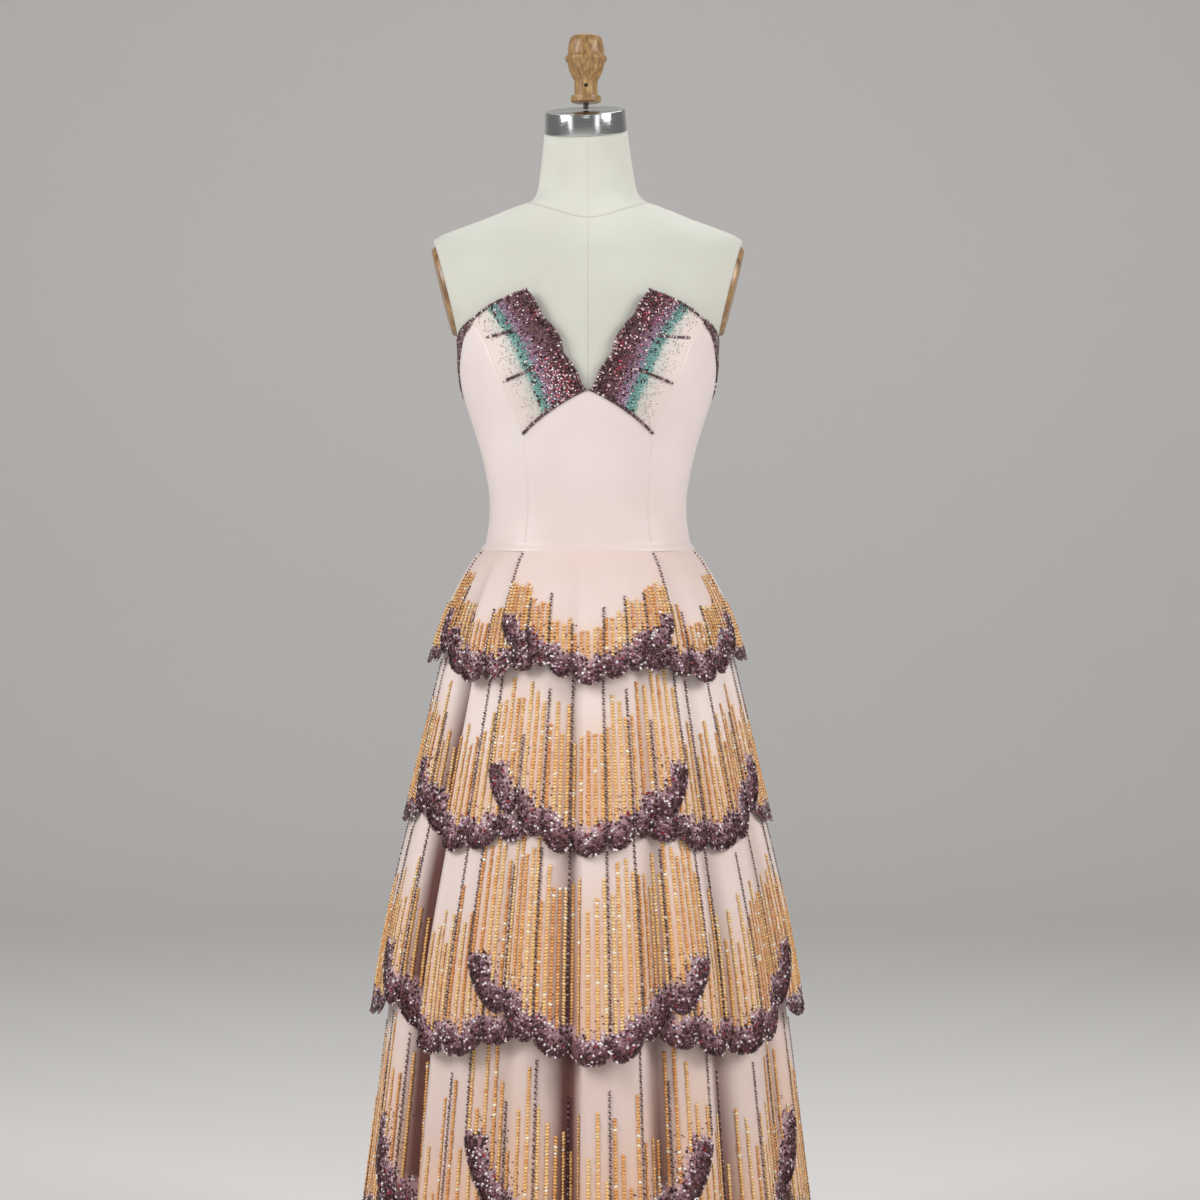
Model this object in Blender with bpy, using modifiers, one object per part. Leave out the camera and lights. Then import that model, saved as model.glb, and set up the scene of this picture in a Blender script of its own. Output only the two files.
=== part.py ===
"""Strapless evening dress with four tiers of scalloped petals, standing on a limbless dress form.

Metres, +Z up. The dress faces -Y, and left and right are as seen from the front, so left is -X.
The origin is the centre of the stand's underside, on the floor.
Angles run round the body in degrees, from 0 at the centre front to +90 at the right side.
"""

import math
from collections import namedtuple

import bmesh
import bpy
from mathutils import Matrix, Vector

# Cloth and seams
BODICE_WALL = 0.0015
SKIRT_WALL = 0.0010
SEAM_GAP = 0.0003
BODICE_CLEAR = 0.0014
LAYER_GAP = 0.0005
SHINGLE_TOP, SHINGLE_HEM = 0.0019, 0.0034

# Heights on the body
WAIST_SEAM = 0.982
HEM_HEIGHT = 0.012
FORM_BOTTOM = 0.770

# The skirt's walls all turn their corners on the same ring of angles, so that they nest
RING_COLUMNS = 64
RING_STEP = 360.0 / RING_COLUMNS

BodyRow = namedtuple("BodyRow", "height half_width front back squareness")
BODY = (
    BodyRow(0.770, 0.154, 0.110, 0.116, 2.15),
    BodyRow(0.820, 0.158, 0.111, 0.120, 2.15),
    BodyRow(0.870, 0.154, 0.108, 0.116, 2.15),
    BodyRow(0.920, 0.142, 0.103, 0.106, 2.15),
    BodyRow(0.955, 0.132, 0.098, 0.097, 2.20),
    BodyRow(0.982, 0.1245, 0.094, 0.090, 2.20),
    BodyRow(1.005, 0.120, 0.091, 0.086, 2.25),
    BodyRow(1.028, 0.118, 0.090, 0.084, 2.25),
    BodyRow(1.053, 0.1195, 0.092, 0.085, 2.25),
    BodyRow(1.080, 0.1245, 0.096, 0.088, 2.25),
    BodyRow(1.110, 0.132, 0.101, 0.092, 2.25),
    BodyRow(1.140, 0.1415, 0.106, 0.096, 2.30),
    BodyRow(1.170, 0.151, 0.110, 0.099, 2.30),
    BodyRow(1.200, 0.1555, 0.112, 0.101, 2.35),
    BodyRow(1.230, 0.157, 0.110, 0.103, 2.40),
    BodyRow(1.260, 0.168, 0.105, 0.103, 2.50),
    BodyRow(1.290, 0.184, 0.097, 0.100, 2.60),
    BodyRow(1.320, 0.191, 0.087, 0.094, 2.60),
    BodyRow(1.345, 0.194, 0.075, 0.085, 2.40),
    BodyRow(1.359, 0.193, 0.066, 0.077, 2.20),
    BodyRow(1.373, 0.162, 0.057, 0.070, 2.10),
    BodyRow(1.385, 0.129, 0.052, 0.066, 2.05),
    BodyRow(1.397, 0.100, 0.050, 0.064, 2.00),
    BodyRow(1.409, 0.067, 0.050, 0.064, 2.00),
)

# The neck leans forward and a little to the left, and its top is cut on a slant
NeckRow = namedtuple("NeckRow", "height half_width half_depth across ahead tilt roll")
NECK = (
    NeckRow(1.422, 0.0605, 0.0560, -0.0010, 0.0060, 4.0, 0.0),
    NeckRow(1.452, 0.0560, 0.0530, -0.0018, 0.0030, 8.0, 1.0),
    NeckRow(1.493, 0.0510, 0.0500, -0.0025, 0.0000, 13.0, 2.5),
)
FORM_COLUMNS = 32
FORM_RINGS = (0.770, 0.820, 0.880, 0.935, 0.982, 1.005, 1.028, 1.053, 1.080, 1.110, 1.140, 1.170,
              1.200, 1.220, 1.238, 1.260, 1.290, 1.320, 1.345, 1.359, 1.373, 1.385, 1.397, 1.409)

# Soft fullness over the bust, cut into the bodice and padded on the form
BUST_PUSH, BUST_ANGLE, BUST_HEIGHT = 0.012, 36.0, 1.195
BUST_ANGLE_SPREAD, BUST_HEIGHT_SPREAD = 22.0, 0.055

# The flat side of the form at each armhole, and the oval plate on it
ARM_CENTRE = Vector((0.1745, 0.0, 1.297))
ARM_LEAN, ARM_TURN = 14.0, 4.0
ARM_LOW, ARM_RELEASE = 1.238, 1.2
ARM_HALF_HEIGHT, ARM_HALF_DEPTH, ARM_PLATE = 0.057, 0.044, 0.005

# The underskirt's outline: each row is one height of its inner face
SkirtRow = namedtuple("SkirtRow", "height half_width front back squareness")
SKIRT = (
    SkirtRow(0.982, 0.1254, 0.0949, 0.0909, 2.20),
    SkirtRow(0.967, 0.1370, 0.1035, 0.1010, 2.16),
    SkirtRow(0.937, 0.1500, 0.1140, 0.1140, 2.12),
    SkirtRow(0.908, 0.1600, 0.1240, 0.1260, 2.08),
    SkirtRow(0.878, 0.1670, 0.1330, 0.1370, 2.04),
    SkirtRow(0.834, 0.1740, 0.1440, 0.1500, 2.00),
    SkirtRow(0.728, 0.1930, 0.1700, 0.1780, 2.00),
    SkirtRow(0.620, 0.2120, 0.1910, 0.2000, 2.00),
    SkirtRow(0.505, 0.2280, 0.2080, 0.2190, 2.00),
    SkirtRow(0.391, 0.2365, 0.2200, 0.2320, 2.00),
    SkirtRow(0.180, 0.2525, 0.2390, 0.2530, 2.00),
    SkirtRow(0.000, 0.2690, 0.2570, 0.2730, 2.00),
)
UNDERSKIRT_RINGS = (0.9817, 0.962, 0.935, 0.905, 0.850, 0.790, 0.728, 0.610, 0.505, 0.260, HEM_HEIGHT)

# Folds that fall from the waist, each a trough with its angle, its spread on either side and its
# share of the full depth
Fold = namedtuple("Fold", "angle left right share")
FOLDS = (
    Fold(-158, 8, 8, 0.7), Fold(-131, 8, 8, 0.6), Fold(-105, 8, 8, 0.7), Fold(-80, 7, 7, 0.4),
    Fold(-52, 8, 4, 1.8), Fold(-28, 8, 8, 0.4), Fold(-4, 6, 6, 0.8), Fold(16, 7, 7, 0.4),
    Fold(40, 6, 6, 0.7), Fold(61, 6, 6, 0.6), Fold(83, 8, 8, 0.5), Fold(107, 8, 8, 0.7),
    Fold(133, 8, 8, 0.6), Fold(158, 8, 8, 0.7), Fold(180, 7, 7, 0.8),
)
FOLD_DEPTH = 0.026
FOLD_GROWTH = 1.1

# Tiers: the heights of each one's rings from its seam down, its hem, and how far its corners rise.
# A corner that lies hidden under the next petal rises by HIDDEN_RISE of that
Tier = namedtuple("Tier", "rings hem corner_rise flare")
TIERS = (
    Tier((WAIST_SEAM - SEAM_GAP, 0.965, 0.943, 0.918), 0.841, 0.060, 0.019),
    Tier((0.905, 0.850, 0.798, 0.746), 0.640, 0.086, 0.014),
    Tier((0.728, 0.668, 0.608, 0.550), 0.405, 0.105, 0.025),
    Tier((0.505, 0.440, 0.376, 0.312), 0.137, 0.165, 0.015),
)
SCALLOP_BULGE = 0.014
CORNER_CURVE = 1.6
HIDDEN_RISE = 0.35

# Petals of one tier. Centre and columns count ring steps, scallops gives each one's share of the hem,
# over is the side that lies on top of the next petal, and lift raises the middle of the hem
Petal = namedtuple("Petal", "name centre columns scallops over lift")
EVEN, UNEVEN = (4, 4, 4, 4, 4), (4, 3, 3, 4, 3, 3, 4)
PETALS = (
    Petal("front", 0, 12, UNEVEN, "both", 0.0),
    Petal("front_right", 8, 10, EVEN, "far", 0.0),
    Petal("side_right", 17, 10, EVEN, "far", 0.018),
    Petal("back_right", 25, 10, EVEN, "far", 0.012),
    Petal("back", 32, 10, EVEN, "none", 0.0),
    Petal("back_left", -25, 10, EVEN, "near", 0.012),
    Petal("side_left", -17, 10, EVEN, "near", 0.018),
    Petal("front_left", -8, 10, EVEN, "near", 0.0),
)

# Bodice seams: the curved front seam as angle against height, and the top edge
SeamRow = namedtuple("SeamRow", "height angle")
FRONT_SEAM = (
    SeamRow(0.982, 35.2), SeamRow(1.060, 33.5), SeamRow(1.120, 31.6),
    SeamRow(1.170, 37.0), SeamRow(1.210, 44.0), SeamRow(1.257, 53.0),
)
TopRow = namedtuple("TopRow", "angle height")
TOP_EDGE = (
    TopRow(53.0, 1.2570), TopRow(75.0, 1.2380), TopRow(90.0, 1.2200),
    TopRow(102.0, 1.1900), TopRow(116.0, 1.1640), TopRow(145.0, 1.1560), TopRow(180.0, 1.1540),
)
SEAM_TURN = 0.11
ROWS_BELOW_CUP, ROWS_BESIDE_CUP = 7, 6
V_BOTTOM = 1.172
V_ANGLE = 0.8
CUP_BOTTOM_OUTER = 1.120
CUP_TOP_INNER = (16.5, 1.293)
CUP_SCALLOPS, CUP_SCALLOP_BULGE = 3, 2.2
CUP_LIFT = 0.008

# Stand, neck cap and finial
POLE_RADIUS = 0.0125
CAP_RADIUS, CAP_HEIGHT, CAP_TAPER = 0.0510, 0.0265, 0.965
ROD_RADIUS, ROD_TOP = 0.0035, 1.5290
ProfilePoint = namedtuple("ProfilePoint", "radius height")
FINIAL = (
    ProfilePoint(0.0000, 1.6135), ProfilePoint(0.0130, 1.6130), ProfilePoint(0.0190, 1.6090),
    ProfilePoint(0.0218, 1.5980), ProfilePoint(0.0228, 1.5880), ProfilePoint(0.0256, 1.5850),
    ProfilePoint(0.0256, 1.5815), ProfilePoint(0.0228, 1.5785), ProfilePoint(0.0210, 1.5700),
    ProfilePoint(0.0178, 1.5620), ProfilePoint(0.0143, 1.5570), ProfilePoint(0.0140, 1.5390),
    ProfilePoint(0.0184, 1.5375), ProfilePoint(0.0184, 1.5305), ProfilePoint(0.0160, 1.5293),
    ProfilePoint(0.0000, 1.5293),
)
STAND_BASE = (
    ProfilePoint(0.0000, 0.0480), ProfilePoint(0.0180, 0.0480), ProfilePoint(0.0200, 0.0450),
    ProfilePoint(0.0220, 0.0230), ProfilePoint(0.0600, 0.0170), ProfilePoint(0.1500, 0.0110),
    ProfilePoint(0.1600, 0.0070), ProfilePoint(0.1600, 0.0000), ProfilePoint(0.0000, 0.0000),
)
POLE_SIDES, TURNED_SIDES, BASE_SIDES, CAP_SIDES = 16, 20, 36, 32

COLOURS = {
    "satin": ((0.86, 0.76, 0.73), 0.38, 0.0),
    "chiffon": ((0.84, 0.72, 0.68), 0.55, 0.0),
    "beading": ((0.25, 0.12, 0.18), 0.30, 0.2),
    "linen": ((0.80, 0.79, 0.73), 0.80, 0.0),
    "steel": ((0.60, 0.61, 0.63), 0.22, 1.0),
    "wood": ((0.48, 0.33, 0.17), 0.55, 0.0),
    "iron": ((0.05, 0.05, 0.05), 0.50, 0.4),
}


def material(name):
    """The finish of this name, made once."""
    found = bpy.data.materials.get(name)
    if found:
        return found
    colour, roughness, metallic = COLOURS[name]
    made = bpy.data.materials.new(name)
    made.use_nodes = True
    shader = made.node_tree.nodes["Principled BSDF"]
    shader.inputs["Base Color"].default_value = (*colour, 1.0)
    shader.inputs["Roughness"].default_value = roughness
    shader.inputs["Metallic"].default_value = metallic
    made.diffuse_color = (*colour, 1.0)
    return made


def add_object(name, bm, finish, collection):
    """A named object from a bmesh, in the part's collection."""
    mesh = bpy.data.meshes.new(name)
    bm.to_mesh(mesh)
    bm.free()
    mesh.materials.append(material(finish))
    mesh.shade_smooth()
    mesh.set_sharp_from_angle(angle=math.radians(40))
    made = bpy.data.objects.new(name, mesh)
    collection.objects.link(made)
    return made


def smooth_value(rows, key, column, at):
    """A column of a table, read at a value of its key column on a smooth curve through the rows."""
    ordered = sorted(rows, key=lambda row: getattr(row, key))
    places = [getattr(row, key) for row in ordered]
    values = [getattr(row, column) for row in ordered]
    at = min(max(at, places[0]), places[-1])
    last = len(places) - 1
    i = next((n for n in range(last) if at <= places[n + 1]), last - 1)

    def slope(n):
        low, high = max(n - 1, 0), min(n + 1, last)
        return (values[high] - values[low]) / (places[high] - places[low])

    span = places[i + 1] - places[i]
    t = (at - places[i]) / span
    return (
        (2 * t**3 - 3 * t**2 + 1) * values[i]
        + (t**3 - 2 * t**2 + t) * span * slope(i)
        + (3 * t**2 - 2 * t**3) * values[i + 1]
        + (t**3 - t**2) * span * slope(i + 1)
    )


def ring_point(rows, angle, height, push):
    """A point on the rounded section that a table gives at this height, moved out by push."""
    half_width, front, back, squareness = (
        smooth_value(rows, "height", column, height)
        for column in ("half_width", "front", "back", "squareness")
    )
    across, ahead = math.sin(math.radians(angle)), math.cos(math.radians(angle))
    depth = front if ahead >= 0 else back
    power = 2.0 / squareness
    x = math.copysign(abs(across) ** power, across) * (half_width + push)
    y = -math.copysign(abs(ahead) ** power, ahead) * (depth + push)
    return Vector((x, y, height))


def arm_limit(y, z):
    """How far out the form reaches at the armhole, where its side is cut flat, and more below it."""
    return (
        ARM_CENTRE.x
        + (z - ARM_CENTRE.z) * math.tan(math.radians(ARM_LEAN))
        + y * math.tan(math.radians(ARM_TURN))
        + max(0.0, ARM_LOW - z) * ARM_RELEASE
    )


def body_point(angle, height, push=0.0):
    """A point on the figure, moved out by push, with its bust and its flat armholes."""
    turn = (abs(angle) - BUST_ANGLE) / BUST_ANGLE_SPREAD
    rise = (height - BUST_HEIGHT) / BUST_HEIGHT_SPREAD
    bust = BUST_PUSH * math.exp(-turn * turn - rise * rise)
    point = ring_point(BODY, angle, height, push)
    point.y -= bust
    if height > BODY[13].height:
        limit = arm_limit(point.y, height) + push
        point.x = min(max(point.x, -limit), limit)
    return point


def fold_push(angle, height):
    """How far the folds carry the skirt in or out, growing from the waist to the hem."""
    share = max(0.0, (WAIST_SEAM - height) / WAIST_SEAM) ** FOLD_GROWTH
    push = 0.35
    for fold in FOLDS:
        away = (angle - fold.angle + 180.0) % 360.0 - 180.0
        spread = fold.left if away < 0.0 else fold.right
        push -= fold.share * math.exp(-((away / spread) ** 2))
    return FOLD_DEPTH * share * push


def skirt_point(angle, height, push):
    """A point on the skirt, moved out by push, straight between the ring's own angles."""
    step = math.floor(angle / RING_STEP)
    ends = [
        ring_point(SKIRT, n * RING_STEP, height, push + fold_push(n * RING_STEP, height))
        for n in (step, step + 1)
    ]
    return ends[0].lerp(ends[1], angle / RING_STEP - step)


def wall(name, columns, rows, place, thickness, finish, collection, hem_cuts=0):
    """A cloth wall: a grid laid out by place(u, v), u across and v from hem to top, thickened outwards."""
    bm = bmesh.new()
    bmesh.ops.create_grid(bm, x_segments=columns, y_segments=rows, size=1.0)
    if hem_cuts:
        hem = [e for e in bm.edges if all(v.co.y < -0.999 for v in e.verts)]
        bmesh.ops.bisect_edges(bm, edges=hem, cuts=hem_cuts)
    for vert in bm.verts:
        vert.co = place((vert.co.x + 1.0) / 2.0, (vert.co.y + 1.0) / 2.0)
    made = add_object(name, bm, finish, collection)
    solidify = made.modifiers.new("thickness", "SOLIDIFY")
    solidify.thickness = thickness
    solidify.offset = 1.0
    return made


def turned(name, profile, sides, finish, collection):
    """A solid of revolution from a profile that runs down its outer side."""
    bm = bmesh.new()
    verts = [bm.verts.new((point.radius, 0.0, point.height)) for point in profile]
    for first, second in zip(verts, verts[1:]):
        bm.edges.new((first, second))
    made = add_object(name, bm, finish, collection)
    screw = made.modifiers.new("turn", "SCREW")
    screw.steps = screw.render_steps = sides
    screw.use_merge_vertices = True
    screw.merge_threshold = 0.00001
    return made


def front_seam(height):
    """The angle of the curved front seam at a height."""
    return smooth_value(FRONT_SEAM, "height", "angle", height)


def top_edge(angle):
    """The height of the bodice's top edge, from the cup round to the centre back."""
    return smooth_value(TOP_EDGE, "angle", "height", angle)


def cup_bottom(angle):
    """The height of the seam under the cup, from the centre front out to the front seam."""
    share = abs(angle) / front_seam(CUP_BOTTOM_OUTER)
    return V_BOTTOM + (CUP_BOTTOM_OUTER - V_BOTTOM) * share


def add_bodice(collection):
    """The panels from the centre front round to the centre back, with a seam gap between each two."""

    def centre_panel(u, v):
        low = WAIST_SEAM + SEAM_GAP
        side = 2.0 * u - 1.0
        reach = front_seam(CUP_BOTTOM_OUTER) * abs(side)
        height = low + (cup_bottom(reach) - SEAM_GAP - low) * v
        edge = front_seam(min(height, CUP_BOTTOM_OUTER)) - SEAM_TURN
        return body_point(side * edge, height, BODICE_CLEAR)

    wall("bodice_front", 12, ROWS_BELOW_CUP, centre_panel, BODICE_WALL, "satin", collection)

    for side, word in ((-1, "left"), (1, "right")):
        def share_out(u, side=side):
            return u if side > 0 else 1.0 - u

        def side_panel(u, v, side=side, share_out=share_out):
            out = share_out(u)
            low = WAIST_SEAM + SEAM_GAP
            inner_top = FRONT_SEAM[-1]
            row = round(v * (ROWS_BELOW_CUP + ROWS_BESIDE_CUP))
            if row <= ROWS_BELOW_CUP:
                level = low + (CUP_BOTTOM_OUTER - low) * row / ROWS_BELOW_CUP
            else:
                beside = (row - ROWS_BELOW_CUP) / ROWS_BESIDE_CUP
                level = CUP_BOTTOM_OUTER + (inner_top.height - CUP_BOTTOM_OUTER) * beside
            high = top_edge(inner_top.angle + (90.0 - inner_top.angle) * out)
            height = low + (high - low) * (level - low) / (inner_top.height - low)
            inner = front_seam(height) + SEAM_TURN
            angle = inner + (90.0 - SEAM_TURN - inner) * out
            return body_point(side * angle, height, BODICE_CLEAR)

        def back_panel(u, v, side=side, share_out=share_out):
            angle = 90.0 + SEAM_TURN + (90.0 - 2.0 * SEAM_TURN) * share_out(u)
            low = WAIST_SEAM + SEAM_GAP
            height = low + (top_edge(angle) - low) * v
            return body_point(side * angle, height, BODICE_CLEAR)

        def cup(u, v, side=side, share_out=share_out):
            out = share_out(u)
            top_inner_angle, top_inner_height = CUP_TOP_INNER
            low_outer = front_seam(CUP_BOTTOM_OUTER)
            top_outer = FRONT_SEAM[-1]
            seam_height = CUP_BOTTOM_OUTER + (top_outer.height - CUP_BOTTOM_OUTER) * v
            edge_angle = V_ANGLE + (top_inner_angle - V_ANGLE) * v
            edge_height = V_BOTTOM + (top_inner_height - V_BOTTOM) * v
            wave = math.sin(math.pi * (v * CUP_SCALLOPS % 1.0))
            edge_angle -= CUP_SCALLOP_BULGE * wave * min(1.0, 4.0 * v) * (1.0 - out) ** 2
            angle = edge_angle + (front_seam(seam_height) - SEAM_TURN - edge_angle) * out
            height = edge_height + (seam_height - edge_height) * out
            angle_below = V_ANGLE + (low_outer - V_ANGLE) * out
            height = max(height, cup_bottom(angle_below) + SEAM_GAP)
            lift = CUP_LIFT * (1.0 - out) ** 1.5 * v
            return body_point(side * angle, height, BODICE_CLEAR + lift)

        rows = ROWS_BELOW_CUP + ROWS_BESIDE_CUP
        wall(f"bodice_side_{word}", 6, rows, side_panel, BODICE_WALL, "satin", collection)
        wall(f"bodice_back_{word}", 12, 9, back_panel, BODICE_WALL, "satin", collection)
        wall(f"cup_{word}", 6, 2 * ROWS_BESIDE_CUP, cup, BODICE_WALL, "beading", collection)


def add_underskirt(collection):
    """The plain skirt that carries the tiers, in a front and a back half."""
    for word, first in (("front", -90.0), ("back", 90.0)):
        def half(u, v, first=first):
            rings = UNDERSKIRT_RINGS
            height = rings[round((1.0 - v) * (len(rings) - 1))]
            turn = 180.0 * u
            turn += 0.05 if u < 0.001 else -0.05 if u > 0.999 else 0.0
            return skirt_point(first + turn, height, 0.0)

        rows = len(UNDERSKIRT_RINGS) - 1
        wall(f"underskirt_{word}", RING_COLUMNS // 2, rows, half, SKIRT_WALL, "chiffon", collection)


def hem_height(tier, petal, side):
    """The height of a petal's scalloped edge, where side runs from -1 to 1 across it."""
    whole = sum(petal.scallops)
    cusps = [2.0 * sum(petal.scallops[:n]) / whole - 1.0 for n in range(len(petal.scallops) + 1)]
    first = max(n for n in range(len(petal.scallops)) if side > cusps[n] - 1e-6)
    low, high = cusps[first], cusps[first + 1]
    t = min(max((side - low) / (high - low), 0.0), 1.0)
    hidden = {"both": (), "none": (-1, 1), "far": (-1,), "near": (1,)}[petal.over]

    def rise(cusp):
        corner = tier.corner_rise * (HIDDEN_RISE if math.copysign(1, cusp) in hidden else 1.0)
        return petal.lift + (corner - petal.lift) * abs(cusp) ** CORNER_CURVE

    chord = rise(low) + (rise(high) - rise(low)) * t
    return tier.hem + chord - SCALLOP_BULGE * math.sqrt(4.0 * t * (1.0 - t))


def add_petal(number, tier, petal, collection):
    """One petal, sewn on along its top and lying over or under its neighbours."""
    half_span = petal.columns / 2.0 * RING_STEP
    last, bottom = tier.rings[-1], tier.hem - SCALLOP_BULGE

    def hang(u, height):
        share = (tier.rings[0] - height) / (tier.rings[0] - tier.hem)
        over = {"both": 1.0, "none": 0.0, "far": u, "near": 1.0 - u}[petal.over]
        shingle = SHINGLE_TOP + (SHINGLE_HEM - SHINGLE_TOP) * share
        push = SKIRT_WALL + LAYER_GAP + tier.flare * share + shingle * over
        return skirt_point(petal.centre * RING_STEP + (2.0 * u - 1.0) * half_span, height, push)

    def place(u, v):
        ring = round((1.0 - v) * len(tier.rings))
        if ring < len(tier.rings):
            return hang(u, tier.rings[ring])
        fall = (last - hem_height(tier, petal, 2.0 * u - 1.0)) / (last - bottom)
        return hang(u, last).lerp(hang(u, bottom), fall)

    name = f"tier_{number}_petal_{petal.name}"
    wall(name, petal.columns, len(tier.rings), place, SKIRT_WALL, "chiffon", collection, hem_cuts=1)


def add_form_body(collection):
    """The covered body and neck of the dress form, as one closed loft of rings."""
    rings = len(FORM_RINGS) + len(NECK)
    bm = bmesh.new()
    bmesh.ops.create_cone(bm, cap_ends=True, segments=FORM_COLUMNS, radius1=1.0, radius2=1.0, depth=1.0)
    upright = [e for e in bm.edges if abs(e.verts[0].co.z - e.verts[1].co.z) > 0.5]
    bmesh.ops.subdivide_edges(bm, edges=upright, cuts=rings - 2)
    for vert in bm.verts:
        angle = math.degrees(math.atan2(vert.co.x, -vert.co.y))
        n = round((vert.co.z + 0.5) * (rings - 1))
        if n < len(FORM_RINGS):
            vert.co = body_point(angle, FORM_RINGS[n])
            continue
        row = NECK[n - len(FORM_RINGS)]
        flat = Vector((
            row.half_width * math.sin(math.radians(angle)),
            -row.half_depth * math.cos(math.radians(angle)),
            0.0,
        ))
        vert.co = slant(row.tilt, row.roll) @ flat + Vector((row.across, row.ahead, row.height))
    add_object("form_body", bm, "linen", collection)


def slant(tilt, roll):
    """The turn of a section that dips forward by tilt and to the left by roll, in degrees."""
    return Matrix.Rotation(math.radians(tilt), 3, "X") @ Matrix.Rotation(math.radians(-roll), 3, "Y")


def add_neck_cap(collection):
    """The metal cap on the slanted top of the neck."""
    top = NECK[-1]
    bm = bmesh.new()
    sizes = {"radius1": CAP_RADIUS, "radius2": CAP_RADIUS * CAP_TAPER, "depth": CAP_HEIGHT}
    bmesh.ops.create_cone(bm, cap_ends=True, segments=CAP_SIDES, **sizes)
    made = add_object("form_neck_cap", bm, "steel", collection)
    turn = slant(top.tilt, top.roll)
    rise = turn @ Vector((0.0, 0.0, SEAM_GAP + CAP_HEIGHT / 2))
    made.location = Vector((top.across, top.ahead, top.height)) + rise
    made.rotation_euler = turn.to_euler()
    bevel = made.modifiers.new("rounded rim", "BEVEL")
    bevel.width = 0.0015
    bevel.segments = 1
    return made


def add_arm_plates(collection):
    """The oval plate that covers each armhole of the form."""
    for side, word in ((-1, "left"), (1, "right")):
        bm = bmesh.new()
        bmesh.ops.create_cone(
            bm, cap_ends=True, segments=CAP_SIDES, radius1=1.0, radius2=0.94, depth=ARM_PLATE
        )
        size = Matrix.Diagonal((ARM_HALF_HEIGHT, ARM_HALF_DEPTH, 1.0))
        bmesh.ops.transform(bm, matrix=size.to_4x4(), verts=bm.verts)
        along = Vector((
            side,
            -math.tan(math.radians(ARM_TURN)),
            -math.tan(math.radians(ARM_LEAN)),
        )).normalized()
        up = Vector((side * math.tan(math.radians(ARM_LEAN)), 0.0, 1.0)).normalized()
        frame = Matrix((up, along.cross(up), along)).transposed()
        made = add_object(f"form_arm_plate_{word}", bm, "wood", collection)
        made.rotation_euler = frame.to_euler()
        centre = Vector((side * ARM_CENTRE.x, ARM_CENTRE.y, ARM_CENTRE.z))
        made.location = centre + along * (SEAM_GAP + ARM_PLATE / 2)


def add_rod(name, radius, low, high, sides, finish, collection):
    """An upright round rod on the form's axis."""
    bm = bmesh.new()
    bmesh.ops.create_cone(bm, cap_ends=True, segments=sides, radius1=radius, radius2=radius, depth=high - low)
    made = add_object(name, bm, finish, collection)
    made.location.z = (low + high) / 2
    return made


def add_stand(collection):
    """Base, pole, the rod above the neck cap and the turned finial on it."""
    turned("stand_base", STAND_BASE, BASE_SIDES, "iron", collection)
    pole_low = STAND_BASE[0].height + SEAM_GAP
    add_rod("stand_pole", POLE_RADIUS, pole_low, FORM_BOTTOM - SEAM_GAP, POLE_SIDES, "steel", collection)
    finial = turned("form_finial", FINIAL, TURNED_SIDES, "wood", collection)
    top = NECK[-1]
    upward = slant(top.tilt, top.roll) @ Vector((0.0, 0.0, 1.0))
    centre = Vector((top.across, top.ahead, top.height)) + upward * (SEAM_GAP + CAP_HEIGHT)
    on_axis = centre.z + upward.y * centre.y / upward.z
    rise = ROD_RADIUS * math.hypot(upward.x, upward.y) / upward.z
    rod = add_rod("form_finial_rod", ROD_RADIUS, on_axis + rise + SEAM_GAP, ROD_TOP, 12, "steel", collection)
    rod.location.x = finial.location.x = top.across


def main():
    for old in list(bpy.data.objects):
        bpy.data.objects.remove(old)
    collection = bpy.data.collections.new("evening dress on a dress form")
    bpy.context.scene.collection.children.link(collection)
    add_form_body(collection)
    add_neck_cap(collection)
    add_arm_plates(collection)
    add_stand(collection)
    add_bodice(collection)
    add_underskirt(collection)
    for number, tier in enumerate(TIERS, start=1):
        for petal in PETALS:
            add_petal(number, tier, petal, collection)


main()
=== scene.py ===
"""Looks of the strapless evening dress, and of the dress form that wears it.

Metres, +Z up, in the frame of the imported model. The dress faces -Y.
Angles run round the body in degrees, from 0 at the centre front to +90 at the right side.
"""

import math
from collections import namedtuple

import bmesh
import bpy
import numpy as np
from mathutils import Matrix, Vector


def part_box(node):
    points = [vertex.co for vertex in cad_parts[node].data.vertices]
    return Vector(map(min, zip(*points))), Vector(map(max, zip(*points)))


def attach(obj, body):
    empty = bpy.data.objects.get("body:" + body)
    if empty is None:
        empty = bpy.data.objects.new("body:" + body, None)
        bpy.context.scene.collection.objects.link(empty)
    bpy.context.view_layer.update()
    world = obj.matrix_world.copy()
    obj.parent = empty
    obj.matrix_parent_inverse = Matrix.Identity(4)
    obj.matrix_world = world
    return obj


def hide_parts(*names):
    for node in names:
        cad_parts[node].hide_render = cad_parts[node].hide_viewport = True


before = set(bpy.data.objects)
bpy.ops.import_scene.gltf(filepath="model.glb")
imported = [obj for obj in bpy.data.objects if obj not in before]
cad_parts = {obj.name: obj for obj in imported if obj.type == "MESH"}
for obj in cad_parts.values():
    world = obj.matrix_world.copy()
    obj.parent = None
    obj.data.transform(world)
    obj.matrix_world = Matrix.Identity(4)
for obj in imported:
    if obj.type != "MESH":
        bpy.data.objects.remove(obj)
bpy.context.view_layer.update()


# The photographer's corner: a camera level with the waist, a pale floor that sweeps up behind the
# dress, and soft light from large panels on both sides, with weaker ones in front and above.
CAMERA_AWAY, CAMERA_HEIGHT = 3.63, 1.053
PHOTO_WIDTH_PX, FOCAL_PX = 1200, 2950
CENTRE_LINE_PX, HORIZON_PX = 588, 490
SWEEP_FRONT, SWEEP_RUN, SWEEP_BACK, SWEEP_ROUND, SWEEP_HALF_WIDTH = -4.5, 13.0, 5.2, 1.6, 7.0

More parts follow.
